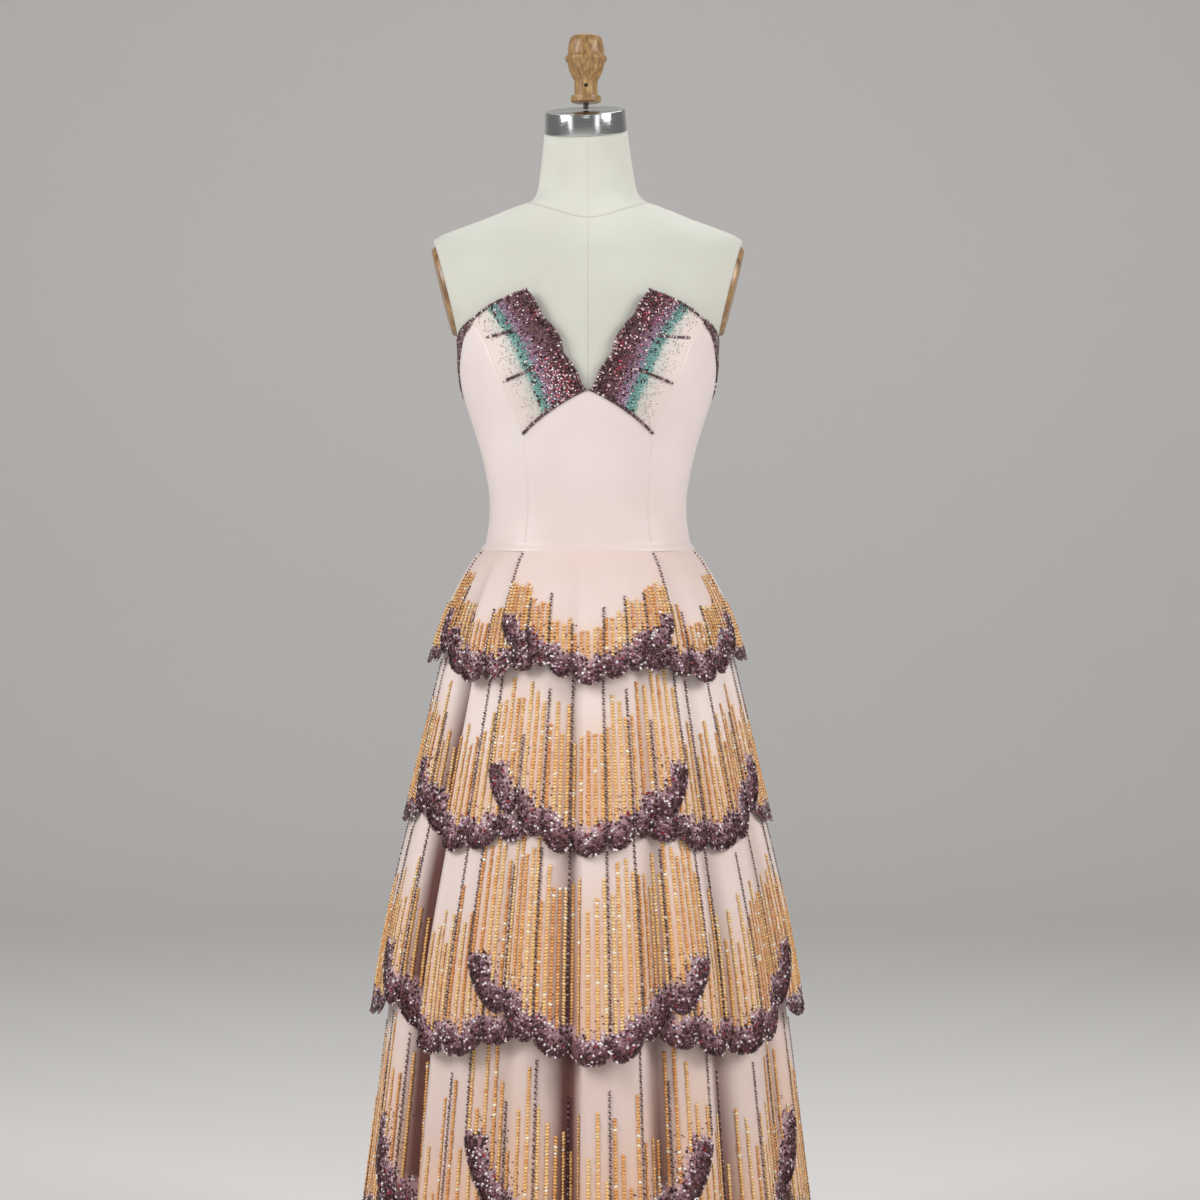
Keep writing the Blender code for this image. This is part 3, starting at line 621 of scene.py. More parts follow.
def bodice_piece(name, node, columns, rows, side, panel):
    def place(u, v):
        out = u if side > 0 else 1.0 - u
        angles, heights = panel(u if side == 0 else out, v)
        return body_points(angles * (side or 1), heights, BODICE_CLEAR)

    cloth_shell(name, columns, rows, place, BODICE_WALL, satin, [node])


bodice_piece("bodice_front_satin", "bodice_front", 48, 36, 0, centre_panel)
for side, word in ((-1, "left"), (1, "right")):
    bodice_piece(f"bodice_side_{word}_satin", f"bodice_side_{word}", 28, 44, side, side_panel)
    bodice_piece(f"bodice_back_{word}_satin", f"bodice_back_{word}", 40, 32, side, back_panel)


# Winged cups: nude tulle over satin, set into the front seams and standing a little off the form at
# their scalloped front edge, with bands of sequins that run from plum through teal to clear.
CUP_TOP_INNER = (16.5, 1.293)
CUP_SCALLOPS, CUP_SCALLOP_BULGE, CUP_LIFT, CUP_WALL = 2.7, 1.7, 0.008, 0.0012


def cup_points(side, out, v, lift=0.0):
    """Points on a cup: out runs from the front edge to the seam, v from the foot to the top."""
    top_angle, top_height = CUP_TOP_INNER
    low_outer = front_seam(np.array([CUP_BOTTOM_OUTER]))
    seam_height = CUP_BOTTOM_OUTER + (FRONT_SEAM[-1].height - CUP_BOTTOM_OUTER) * v
    edge_angle = V_ANGLE + (top_angle - V_ANGLE) * v
    edge_height = V_BOTTOM + (top_height - V_BOTTOM) * v
    wave = np.abs(np.sin(math.pi * v * CUP_SCALLOPS))
    edge_angle = edge_angle - CUP_SCALLOP_BULGE * (wave - 0.75) * np.minimum(1.0, 4.0 * v) * (1.0 - out) ** 2
    angles = edge_angle + (front_seam(seam_height) - SEAM_TURN - edge_angle) * out
    heights = edge_height + (seam_height - edge_height) * out
    angle_below = V_ANGLE + (low_outer - V_ANGLE) * out
    heights = np.maximum(heights, cup_bottom(angle_below) + SEAM_GAP)
    away = CUP_LIFT * (1.0 - out) ** 1.5 * v
    return body_points(side * angles, heights, BODICE_CLEAR + away + lift)


tulle = Finish("nude tulle", (236, 220, 214), roughness=0.6, sheen_weight=0.3)
inward = tulle.mark("inward")
tulle_mesh = tulle.noise(1400.0, 2.0)
wobble = tulle.noise(90.0, 3.0) * 0.14 - 0.07
tulle_bands = tulle.ramp(inward + wobble, (
    (0.00, (66, 30, 34)), (0.26, (98, 58, 66)), (0.40, (156, 120, 142)), (0.45, (118, 164, 160)),
    (0.55, (140, 182, 176)), (0.62, (206, 206, 198)), (0.80, (230, 214, 208)),
))
tulle.feed("Base Color", tulle.blend(tulle_mesh * 0.2, tulle_bands, (206, 184, 176)))
tulle.bump(tulle_mesh, 0.0003, 0.4)
for side, word in ((-1, "left"), (1, "right")):
    def cup_inward(u, v):
        return u if side > 0 else 1.0 - u

    def cup_place(u, v):
        return cup_points(side, cup_inward(u, v), v)

    cloth_shell(
        f"cup_{word}_tulle", 30, 48, cup_place, CUP_WALL, tulle,
        [f"cup_{word}"], {"inward": cup_inward},
    )


# Underskirt: an A-line of blush chiffon over satin with a narrow rolled hem. The petals are sewn onto
# it, and it falls from the waist in soft folds, with a deep fold left of the front and one near it.
SKIRT = chart("height half_width front back squareness", (
    (0.982, 0.1254, 0.0949, 0.0909, 2.20), (0.967, 0.1370, 0.1035, 0.1010, 2.16),
    (0.937, 0.1500, 0.1140, 0.1140, 2.12), (0.908, 0.1600, 0.1240, 0.1260, 2.08),
    (0.878, 0.1670, 0.1330, 0.1370, 2.04), (0.834, 0.1740, 0.1440, 0.1500, 2.00),
    (0.728, 0.1930, 0.1700, 0.1780, 2.00), (0.620, 0.2120, 0.1910, 0.2000, 2.00),
    (0.505, 0.2280, 0.2080, 0.2190, 2.00), (0.391, 0.2365, 0.2200, 0.2320, 2.00),
    (0.180, 0.2525, 0.2390, 0.2530, 2.00), (0.000, 0.2690, 0.2570, 0.2730, 2.00),
))
FOLDS = chart("angle left right share", (
    (-158, 8, 8, 0.7), (-131, 8, 8, 0.6), (-105, 8, 8, 0.7), (-80, 7, 7, 0.4), (-52, 7, 1.6, 3.2),
    (-28, 8, 8, 0.4), (-4, 7, 1.6, 1.25), (20, 5, 3, 0.8), (39, 4, 6, 0.9), (61, 6, 6, 0.6),
    (83, 8, 8, 0.5), (107, 8, 8, 0.7), (133, 8, 8, 0.6), (158, 8, 8, 0.7), (180, 7, 7, 0.8),
))
FOLD_DEPTH, FOLD_GROWTH, RIPPLE_DEPTH = 0.026, 1.1, 0.0016
CREASES = np.random.default_rng(5).uniform((-180.0, 2.0, 3.0, 0.04), (180.0, 4.5, 6.0, 0.20), (26, 4))
HEM_HEIGHT, UNDERSKIRT_WALL = 0.012, 0.0008
FOLD_SHADE, SHADE_DEPTH, SHADE_CURVE = (100, 54, 46), 0.012, 1.2


def fold_push(angles, heights):
    """How far the folds and creases carry the skirt in or out, growing from the waist to the hem."""
    share = np.maximum(0.0, (WAIST_SEAM - heights) / WAIST_SEAM) ** FOLD_GROWTH
    outward = np.full(len(angles), 0.35)
    for angle, left, right, depth in (*FOLDS, *CREASES):
        away = (angles - angle + 180.0) % 360.0 - 180.0
        outward -= depth * np.exp(-((away / np.where(away < 0.0, left, right)) ** 2))
    turn = np.radians(angles)
    ripple = np.sin(31.0 * turn + 2.0 * np.sin(3.0 * turn)) + 0.6 * np.sin(47.0 * turn + 9.0 * heights)
    return share * (FOLD_DEPTH * outward + RIPPLE_DEPTH * ripple)


def skirt_points(angles, heights, push):
    return section_points(SKIRT, angles, heights, push + fold_push(angles, heights))


def fold_hollow(angles, heights):
    """How deep in a fold a point of the skirt lies, from 0 to 1."""
    return np.clip(-fold_push(angles, heights) / SHADE_DEPTH, 0.0, 1.0) ** SHADE_CURVE


def round_skirt(u, v):
    return 360.0 * u - 180.0, HEM_HEIGHT + (WAIST_SEAM - SEAM_GAP - HEM_HEIGHT) * v


def underskirt_place(u, v):
    return skirt_points(*round_skirt(u, v), 0.0)


def underskirt_hollow(u, v):
    return fold_hollow(*round_skirt(u, v))


def chiffon_finish(name):
    """Blush chiffon with fine crinkled threads: the finish, its colour, and how deep in a fold it lies."""
    made = Finish(name, (238, 222, 215), roughness=0.58, sheen_weight=0.4, sheen_roughness=0.4)
    threads = made.noise(1.0, 2.0, (700.0, 700.0, 1.0), "UV")
    crinkle = made.noise(1.0, 3.0, (60.0, 9.0, 1.0), "UV")
    cloud = made.noise(7.0, 3.0)
    tone = made.ramp(cloud, ((0.3, (226, 206, 198)), (0.7, (235, 219, 213))))
    tone = made.blend(threads * 0.14, tone, (206, 178, 166))
    height = made.number(made.place(), 2)
    shaded = height.below(0.42, 0.34) * 0.6 + (1.0 - height.below(0.91, 0.05)) * 0.3
    tone = made.blend(shaded, tone, (190, 160, 150))
    hollow = made.mark("hollow")
    made.bump(threads * 0.4 + crinkle * 0.9, 0.0005, 0.5)
    return made, tone, hollow


plain_chiffon, plain_tone, plain_hollow = chiffon_finish("plain blush chiffon")
plain_chiffon.feed("Base Color", plain_chiffon.blend(plain_hollow, plain_tone, FOLD_SHADE))
cloth_shell(
    "underskirt_chiffon", 200, 44, underskirt_place, UNDERSKIRT_WALL, plain_chiffon,
    ["underskirt_front", "underskirt_back"], {"hollow": underskirt_hollow},
)


# Petals: four tiers of eight blush chiffon petals with scalloped hems. Each tier is gathered onto the
# underskirt along its top, and each petal lies over its neighbour away from the front.
TIERS = chart("top hem corner_rise flare reach band rows", (
    (WAIST_SEAM - SEAM_GAP, 0.841, 0.060, 0.019, 0.182, 0.023, 18),
    (0.905, 0.640, 0.086, 0.014, 0.212, 0.026, 26),
    (0.728, 0.405, 0.105, 0.025, 0.243, 0.028, 30),
    (0.505, 0.137, 0.165, 0.015, 0.262, 0.030, 32),
))
SCALLOP_BULGE, LONGEST_BULGE, CORNER_CURVE, HIDDEN_RISE, HEM_WANDER = 0.014, 0.028, 1.6, 0.35, 0.003
GOLD_REACH = ((0.38, 0.42, 0.50), (0.76, 0.60, 0.22), (0.82, 0.62, 0.16), (0.64, 0.60, 0.30))
SKIRT_WALL, LAYER_GAP, PETAL_WALL = 0.0010, 0.0005, 0.0006
SHINGLE_TOP, SHINGLE_HEM = 0.0019, 0.0034
RING_STEP = 360.0 / 64
EVEN, UNEVEN = (4, 4, 4, 4, 4), (4, 3, 3, 4, 3, 3, 4)
PETALS = chart("name centre columns scallops over lift", (
    ("front", 0, 12, UNEVEN, "both", 0.0), ("front_right", 8, 10, EVEN, "far", 0.0),
    ("front_left", -8, 10, EVEN, "near", 0.0), ("side_right", 17, 10, EVEN, "far", 0.018),
    ("side_left", -17, 10, EVEN, "near", 0.018), ("back_right", 25, 10, EVEN, "far", 0.012),
    ("back_left", -25, 10, EVEN, "near", 0.012), ("back", 32, 10, EVEN, "none", 0.0),
))
Hem = namedtuple("Hem", "cusps heights bulges")


def cut_hem(number, petal):
    """The scallops of one petal: where they meet, how high, and how far each hangs below that."""
    tier = TIERS[number - 1]
    hand = np.random.default_rng((number, petal.columns, petal.centre + 64))
    cusps = 2.0 * np.cumsum((0,) + petal.scallops) / sum(petal.scallops) - 1.0
    hidden = {"both": (), "none": (-1.0, 1.0), "far": (-1.0,), "near": (1.0,)}[petal.over]
    corner = tier.corner_rise * np.where(np.isin(np.sign(cusps), hidden), HIDDEN_RISE, 1.0)
    rise = petal.lift + (corner - petal.lift) * np.abs(cusps) ** CORNER_CURVE
    rise += hand.uniform(-HEM_WANDER, HEM_WANDER, len(rise))
    bulges = SCALLOP_BULGE * hand.uniform(0.8, 1.1, len(cusps) - 1) + 0.3 * np.abs(np.diff(rise))
    bulges[len(bulges) // 2] = SCALLOP_BULGE * hand.uniform(1.15, 1.4)
    return Hem(cusps, tier.hem + rise, np.minimum(bulges, LONGEST_BULGE))


hems = {(number, petal.name): cut_hem(number, petal) for number in (1, 2, 3, 4) for petal in PETALS}


def hem_line(hem, side):
    """The height of a scalloped edge, where side runs from -1 to 1 across the petal."""
    first = np.clip(np.searchsorted(hem.cusps, side + 1e-6) - 1, 0, len(hem.bulges) - 1)
    t = np.clip((side - hem.cusps[first]) / (hem.cusps[first + 1] - hem.cusps[first]), 0.0, 1.0)
    chord = hem.heights[first] + (hem.heights[first + 1] - hem.heights[first]) * t
    return chord - hem.bulges[first] * np.sqrt(4.0 * t * (1.0 - t))


def half_arc(tier, petal):
    """Half the width of a petal at its hem, in metres."""
    return math.radians(petal.columns * RING_STEP / 2.0) * tier.reach


def band_depth(number, petal, side, heights):
    """How deep points lie in the beaded band of a hem: 0 on the scalloped edge and 1 at its inner side.

    The band ends level with the petal's corners, so its outer scallops are round lobes.
    """
    tier, hem = TIERS[number - 1], hems[number, petal.name]
    ring = np.linspace(-1.0, 1.0, 201)
    across = (side[:, None] - ring) * half_arc(tier, petal)
    away = np.sqrt((across**2 + (heights[:, None] - hem_line(hem, ring)) ** 2).min(axis=1)) / tier.band
    corner = np.where(side < 0.0, hem.heights[0], hem.heights[-1])
    return np.maximum(away, 0.95 + (heights - corner - 0.004) / (0.6 * tier.band))


def petal_angles(petal, side):
    return (petal.centre + side * petal.columns / 2.0) * RING_STEP


def petal_points(tier, petal, side, heights, lift=0.0):
    """Points on a petal's inner face, or above it by lift."""
    share = (tier.top - heights) / (tier.top - tier.hem)
    u = (side + 1.0) / 2.0
    over = {"both": 1.0 + 0.0 * u, "none": 0.0 * u, "far": u, "near": 1.0 - u}[petal.over]
    shingle = SHINGLE_TOP + (SHINGLE_HEM - SHINGLE_TOP) * share
    push = SKIRT_WALL + LAYER_GAP + tier.flare * share + shingle * over + lift
    return skirt_points(petal_angles(petal, side), heights, push)


def tier_above(number, angles):
    """The height at which a tier comes out from under the tier above it, or from the waist seam."""
    if number == 1:
        return np.full(len(angles), WAIST_SEAM - 0.006)
    lowest = np.full(len(angles), 9.0)
    for petal in PETALS:
        away = (angles - petal.centre * RING_STEP + 180.0) % 360.0 - 180.0
        side = away / (petal.columns / 2.0 * RING_STEP)
        hem = hem_line(hems[number - 1, petal.name], np.clip(side, -1.0, 1.0))
        lowest = np.where(np.abs(side) <= 1.0, np.minimum(lowest, hem), lowest)
    return lowest


def gold_reach(number, petal, side):
    """How far up the visible petal its gold rows climb: low in the middle and high at the edges."""
    front, others, gain = GOLD_REACH[number - 1]
    return (front if petal.centre == 0 else others) + gain * np.abs(side) ** 1.5


petal_chiffon, petal_tone, petal_hollow = chiffon_finish("petal chiffon")
from_hem = petal_chiffon.mark("from_hem")
glow = petal_chiffon.mark("glow")
ragged = petal_chiffon.noise(160.0, 3.0) * 0.5 - 0.25
warm_tone = petal_chiffon.blend(glow * 0.6, petal_tone, (222, 170, 132))
warm_tone = petal_chiffon.blend(petal_hollow, warm_tone, FOLD_SHADE)
dyed = petal_chiffon.ramp(from_hem + ragged, (
    (0.0, (66, 32, 34)), (0.45, (116, 72, 76)), (0.85, (188, 150, 154)),
))
petal_chiffon.feed("Base Color", petal_chiffon.blend((from_hem + ragged).below(0.95, 0.2), warm_tone, dyed))
for number, tier in enumerate(TIERS, start=1):
    for petal in PETALS:
        def petal_grid(u, v):
            side = 2.0 * u - 1.0
            low = hem_line(hems[number, petal.name], side)
            return side, low + (tier.top - low) * v

        def petal_place(u, v):
            return petal_points(tier, petal, *petal_grid(u, v))

        def hem_share(u, v):
            return np.clip(band_depth(number, petal, *petal_grid(u, v)), 0.0, 3.0)

        def glow_share(u, v):
            side, height = petal_grid(u, v)
            hem, open_top = tier.hem, tier_above(number, petal_angles(petal, side))
            climbed = (height - hem) / (gold_reach(number, petal, side) * (open_top - hem))
            return np.clip(1.9 - 1.7 * climbed, 0.0, 1.0)

        def hollow_share(u, v):
            side, height = petal_grid(u, v)
            return fold_hollow(petal_angles(petal, side), height)

        cloth_shell(
            f"petal_{number}_{petal.name}", 2 * sum(petal.scallops), tier.rows, petal_place, PETAL_WALL,
            petal_chiffon, [f"tier_{number}_petal_{petal.name}"],
            {"from_hem": hem_share, "glow": glow_share, "hollow": hollow_share},
        )


# Waist binding: a narrow bias strip of the satin, stitched over the seam that joins bodice and skirt.
BINDING_LOW, BINDING_HIGH, BINDING_WALL = 0.9795, 0.9897, 0.0003


def binding_place(u, v):
    angles = 360.0 * u - 180.0
    heights = BINDING_LOW + (BINDING_HIGH - BINDING_LOW) * v
    over_skirt = SKIRT_WALL + LAYER_GAP + SHINGLE_TOP + PETAL_WALL
    below = skirt_points(angles, np.full(len(u), BINDING_LOW), over_skirt)
    above = body_points(angles, np.full(len(u), BINDING_HIGH), BODICE_CLEAR + BODICE_WALL - BINDING_WALL)
    rounded = (v * v * (3.0 - 2.0 * v))[:, None]
    points = below * (1.0 - rounded) + above * rounded
    points[:, 2] = heights
    return points


cloth_shell(
    "waist_binding_satin", 144, 5, binding_place, BINDING_WALL, satin, []
)


# Bead work on the petals: rows of gold glass beads that hang down to the hems, plum bead lines along
# the petals' edges and up from where the scallops meet, and sequins sewn densely along the hems.
GOLD_SIZE, GOLD_PITCH = (0.0029, 0.0020, 0.0014), 0.0037
GOLD_ROW_PITCH, GOLD_UNEVEN = (0.0074, 0.0096, 0.0086, 0.0118), (0.03, 0.13, 0.13, 0.24)
LINE_SIZE, LINE_PITCH = (0.0025, 0.0015, 0.0014), 0.0033
VEIN_PLACES = (0.17, 0.42, 0.67)
VEIN_REACH = ((0.45, 0.67, 0.52), (1.02, 0.80, 0.57), (0.97, 0.93, 0.90), (0.86, 0.92, 0.70))
SEQUIN_SIZE, SEQUIN_PITCH, ROW_FOOT = 0.0022, 0.0032, 0.004
GOLD_LIFT, LINE_LIFT, SEQUIN_LIFT, SEQUIN_TUMBLE = 0.0009, 0.0011, 0.0008, 0.34
SEQUIN_DEPTHS, SEQUIN_SHARES = (0.0, 0.80, 1.0, 1.25, 1.6, 1.9, 2.3), (1.0, 0.96, 0.55, 0.22, 0.10, 0.04, 0.0)
chance = np.random.default_rng(11)


def glass_bead():
    bm = bmesh.new()
    bmesh.ops.create_uvsphere(bm, u_segments=6, v_segments=2, radius=1.0)
    return bm


def cupped_sequin():
    bm = bmesh.new()
    bmesh.ops.create_cone(bm, cap_ends=True, segments=5, radius1=1.0, radius2=0.0, depth=0.35)
    return bm


def strew(name, bead, spots, ways, turns, shades, scales, size, finish, tumble=0.2):
    """One object of many beads: copies of one bead, each facing its own way, turned about it and scaled.

    shades gives each bead a value from 0 to 1, which the finish turns into its colour.
    """
    shape = np.array([vert.co for vert in bead.verts]) * size
    faces = [[vert.index for vert in face.verts] for face in bead.faces]
    bead.free()
    count, corners = len(spots), len(shape)
    up = ways + chance.normal(0.0, tumble, ways.shape)
    up /= np.linalg.norm(up, axis=1, keepdims=True)
    level = np.cross(up, (0.0, 0.0, 1.0))
    level /= np.maximum(np.linalg.norm(level, axis=1, keepdims=True), 1e-6)
    fall = np.cross(up, level)
    first = level * np.cos(turns)[:, None] + fall * np.sin(turns)[:, None]
    second = np.cross(up, first)
    scale = (scales * chance.uniform(0.9, 1.1, count))[:, None, None]
    across, along, high = (part[:, None] for part in shape.T)
    points = spots[:, None] + (across * first[:, None] + along * second[:, None] + high * up[:, None]) * scale
    mesh = bpy.data.meshes.new(name)
    mesh.vertices.add(count * corners)
    mesh.vertices.foreach_set("co", points.astype(np.float32).ravel())
    loops = np.concatenate([np.array(face) for face in faces])
    lengths = np.array([len(face) for face in faces])
    starts = np.concatenate([[0], np.cumsum(lengths)[:-1]])
    every = np.arange(count)[:, None]
    mesh.loops.add(count * len(loops))
    mesh.loops.foreach_set("vertex_index", (every * corners + loops).astype(np.int32).ravel())
    mesh.polygons.add(count * len(faces))
    mesh.polygons.foreach_set("loop_start", (every * len(loops) + starts).astype(np.int32).ravel())
    mesh.polygons.foreach_set("loop_total", np.tile(lengths, count).astype(np.int32))
    mesh.update(calc_edges=True)
    shade = mesh.attributes.new("shade", "FLOAT", "POINT")
    shade.data.foreach_set("value", np.repeat(np.asarray(shades, np.float32), corners))
    mesh.materials.append(finish.material)
    piece = bpy.data.objects.new(name, mesh)
    bpy.context.scene.collection.objects.link(piece)
    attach(piece, "root")


def bead_finish(name, colours, roughness, metallic, coat):
    """Glass or foil whose colour and gloss change from bead to bead."""
    middle_colour = colours[len(colours) // 2][1]
    made = Finish(name, middle_colour, roughness=roughness, metallic=metallic, coat_weight=coat, coat_roughness=0.08)
    shade = made.mark("shade")
    made.feed("Base Color", made.ramp(shade, colours))
    made.feed("Roughness", made.noise(700.0, 1.0) * 0.25 + roughness - 0.1)
    return made


# The palest gold stop is a painted highlight, which the few beads set to it take as glints.
gold_glass = bead_finish("gold glass beads", (
    (0.00, (214, 138, 78)), (0.20, (228, 158, 88)), (0.50, (242, 190, 118)),
    (0.80, (250, 216, 156)), (1.00, (255, 246, 222)),
), 0.26, 0.1, 0.6)
# The palest plum stops are painted highlights, which the lightest beads of the edge chains and the trim take as white
# specks.
plum_glass = bead_finish("plum glass beads", (
    (0.00, (44, 20, 22)), (0.40, (90, 54, 58)), (0.68, (150, 114, 120)),
    (0.86, (206, 178, 184)), (1.00, (252, 240, 242)),
), 0.24, 0.3, 0.7)
# The red first stop and the near-white last stop are painted glints. The stops between run from dark plum to lilac.
plum_foil = bead_finish("plum and lilac sequins", (
    (0.00, (176, 46, 60)), (0.03, (60, 24, 26)), (0.24, (116, 70, 76)), (0.48, (162, 120, 136)),
    (0.70, (200, 164, 186)), (0.88, (242, 214, 222)), (1.00, (255, 246, 248)),
), 0.24, 0.35, 0.5)


def uncovered(number, petal, side, heights):
    """Which points of a petal show: not under the tier above, and not under a petal nearer the front."""
    angles = petal_angles(petal, side)
    shown = heights < np.minimum(tier_above(number, angles) + 0.010, TIERS[number - 1].top - 0.001)
    for other in PETALS:
        if abs(other.centre) < abs(petal.centre):
            away = (angles - other.centre * RING_STEP + 180.0) % 360.0 - 180.0
            across = away / (other.columns / 2.0 * RING_STEP)
            hem = hem_line(hems[number, other.name], np.clip(across, -1.0, 1.0))
            shown &= (np.abs(across) > 1.01) | (heights < hem - 0.001)
    return shown


def outward_at(tier, petal, side, heights):
    """Points on a petal's outer face and the directions that stand straight out of it."""
    base = petal_points(tier, petal, side, heights, PETAL_WALL)
    sideways = petal_points(tier, petal, side + 0.01, heights, PETAL_WALL) - base
    upward = petal_points(tier, petal, side, heights + 0.002, PETAL_WALL) - base
    normal = np.cross(sideways, upward)
    return base, normal / np.linalg.norm(normal, axis=1, keepdims=True)


def hanging_rows(sides, tops, low, pitch):
    """The beads of upright rows: each one's side and height, its place in its row, and its row."""
    level = np.arange(low, max(tops), pitch)
    row, step = np.meshgrid(np.arange(len(sides)), np.arange(len(level)), indexing="ij")
    keep = level[step] < np.asarray(tops)[row]
    row, step = row[keep], step[keep]
    return np.asarray(sides)[row], level[step], step, row


def shimmer(across, up):
    """Soft patches about 25 mm wide, from -1 to 1, in which the sequins get painted highlights together."""
    return np.sin(251.0 * across + 3.0 * np.sin(97.0 * up)) * np.sin(229.0 * up + 2.0 * np.sin(113.0 * across))


def edge_run(number, petal, pitch):
    """Points a pitch apart along the scalloped edge of a petal."""
    arc = half_arc(TIERS[number - 1], petal)
    ring = np.linspace(-0.997, 0.997, 2000)
    edge = hem_line(hems[number, petal.name], ring)
    along = np.concatenate([[0.0], np.cumsum(np.hypot(np.diff(ring) * arc, np.diff(edge)))])
    spots = np.arange(0.0, along[-1], pitch)
    return np.interp(spots, along, ring), np.interp(spots, along, edge)


for number, tier in enumerate(TIERS, start=1):
    gold, lines, scales, uneven = [], [], [], GOLD_UNEVEN[number - 1]
    for petal in PETALS:
        hem, arc = hems[number, petal.name], half_arc(tier, petal)

        row_sides, row_reach = [], []
        for left, right in zip(hem.cusps, hem.cusps[1:]):
            pitch = GOLD_ROW_PITCH[number - 1] * chance.uniform(0.78, 1.2)
            count = max(2, round((right - left) * arc / pitch))
            spots = left + (right - left) * (np.arange(count) + 0.5 + chance.uniform(-0.12, 0.12, count)) / count
            step = gold_reach(number, petal, np.array([(left + right) / 2.0])) + chance.uniform(-0.04, 0.04)
            row_sides.append(spots)
            row_reach.append(step + chance.uniform(-uneven, uneven, count))
        row_sides, row_reach = np.concatenate(row_sides), np.clip(np.concatenate(row_reach), 0.15, 1.05)
        open_top = tier_above(number, petal_angles(petal, row_sides))
        tops = tier.hem + (open_top - tier.hem) * row_reach
        side, height, _, row = hanging_rows(row_sides, tops, tier.hem - ROW_FOOT, GOLD_PITCH)
        clear = band_depth(number, petal, side, height) > chance.uniform(0.78, 1.02, len(tops))[row]
        clear &= height > hem_line(hem, side)
        row_tone = chance.uniform(-0.28, 0.22, len(tops))[row]
        tone = np.clip(chance.normal(0.5, 0.11, len(side)) + row_tone, 0.05, 1.0)
        # Painted highlights: about one bead in forty is set to the palest, near-white gold as a glint.
        tone = np.where(chance.uniform(size=len(side)) < 0.025, 1.0, tone)
        turns = np.where(row % 2, 0.5, -0.5)
        gold.append((petal, side[clear], height[clear], turns[clear], tone[clear], np.ones(clear.sum())))

        reach = np.interp(np.abs(hem.cusps), VEIN_PLACES, VEIN_REACH[number - 1])
        reach += chance.uniform(-0.08, 0.08, len(reach))
        reach[[0, -1]] = 1.02
        sides = hem.cusps * 0.994
        open_top = tier_above(number, petal_angles(petal, sides))
        tops = hem.heights + (open_top - hem.heights) * np.clip(reach, 0.2, 1.02)
        side, height, step, row = hanging_rows(sides, tops, tier.hem - ROW_FOOT, LINE_PITCH)
        clear = height > hem.heights[row] + 0.001
        zigzag = np.where(step % 2, 1.0, -1.0)
        tone = np.clip(np.where(step % 2, 0.62, 0.10) + chance.normal(0.0, 0.14, len(side)), 0.0, 1.0)
        side = np.clip(side + zigzag * 0.0002 / arc, -0.999, 0.999)
        turns = 0.6 * zigzag
        lines.append((petal, side[clear], height[clear], turns[clear], tone[clear], np.full(clear.sum(), 0.84)))
        # Edge chain: mostly dark beads, with painted white highlights on the lightest.
        side, height = edge_run(number, petal, LINE_PITCH * 0.9)
        tone = np.clip(chance.beta(1.0, 2.2, len(side)) * 1.25, 0.0, 1.0)
        lines.append((petal, side, height + 0.0008, chance.uniform(-1.5, 1.5, len(side)), tone, np.ones(len(side))))

        columns = np.arange(-0.995, 0.995, SEQUIN_PITCH / arc)
        levels = np.arange(tier.hem - 0.024, tier.hem + tier.corner_rise + 2.3 * tier.band, SEQUIN_PITCH)
        side, height = (part.ravel() for part in np.meshgrid(columns, levels))
        side = np.clip(side + chance.uniform(-0.5, 0.5, len(side)) * SEQUIN_PITCH / arc, -0.995, 0.995)
        height = height + chance.uniform(-0.5, 0.5, len(side)) * SEQUIN_PITCH
        above = height > hem_line(hem, side) + 0.0006
        side, height = side[above], height[above]
        depth = band_depth(number, petal, side, height)
        keep = chance.uniform(size=len(side)) < np.interp(depth, SEQUIN_DEPTHS, SEQUIN_SHARES)
        side, height, depth = side[keep], height[keep], depth[keep]
        patch = shimmer(side * arc + 0.4 * number, height)
        # Dark plum at the edge to lilac inside, with painted highlights in the shimmer patches.
        tone = np.clip(chance.normal(0.06 + 0.64 * depth + 0.20 * patch, 0.26), 0.04, 1.0)
        # Painted glints: some sequins are set to near-white, more of them in the patches, and a few to red (tone 0).
        spark = chance.uniform(size=len(side))
        tone = np.where(spark < 0.05 + 0.10 * np.maximum(patch, 0.0), 1.0, np.where(spark > 0.80, 0.05, tone))
        tone = np.where((spark > 0.40) & (spark < 0.42 + 0.05 * patch), 0.0, tone)
        tone = np.where(depth > 1.1, 0.08, tone)
        turns = chance.uniform(0.0, math.tau, len(side))
        sizes = np.where(depth > 1.1, 0.5, chance.uniform(0.75, 1.15, len(side)))
        scales.append((petal, side, height, turns, np.clip(tone, 0.0, 1.0), sizes))

    def sewn_on(runs, lift):
        """Where the beads of a tier lie, and which way they face, without those that are covered."""
        found = []
        for petal, side, height, turns, tone, sizes in runs:
            shown = uncovered(number, petal, side, height)
            base, normal = outward_at(tier, petal, side[shown], height[shown])
            found.append((base + normal * lift, normal, turns[shown], tone[shown], sizes[shown]))
        return [np.concatenate(parts) for parts in zip(*found)]

    strew(f"gold_rows_{number}", glass_bead(), *sewn_on(gold, GOLD_LIFT), GOLD_SIZE, gold_glass)
    strew(f"plum_lines_{number}", glass_bead(), *sewn_on(lines, LINE_LIFT), LINE_SIZE, plum_glass)
    hem_scales = sewn_on(scales, SEQUIN_LIFT)
    strew(f"hem_sequins_{number}", cupped_sequin(), *hem_scales, SEQUIN_SIZE, plum_foil, SEQUIN_TUMBLE)


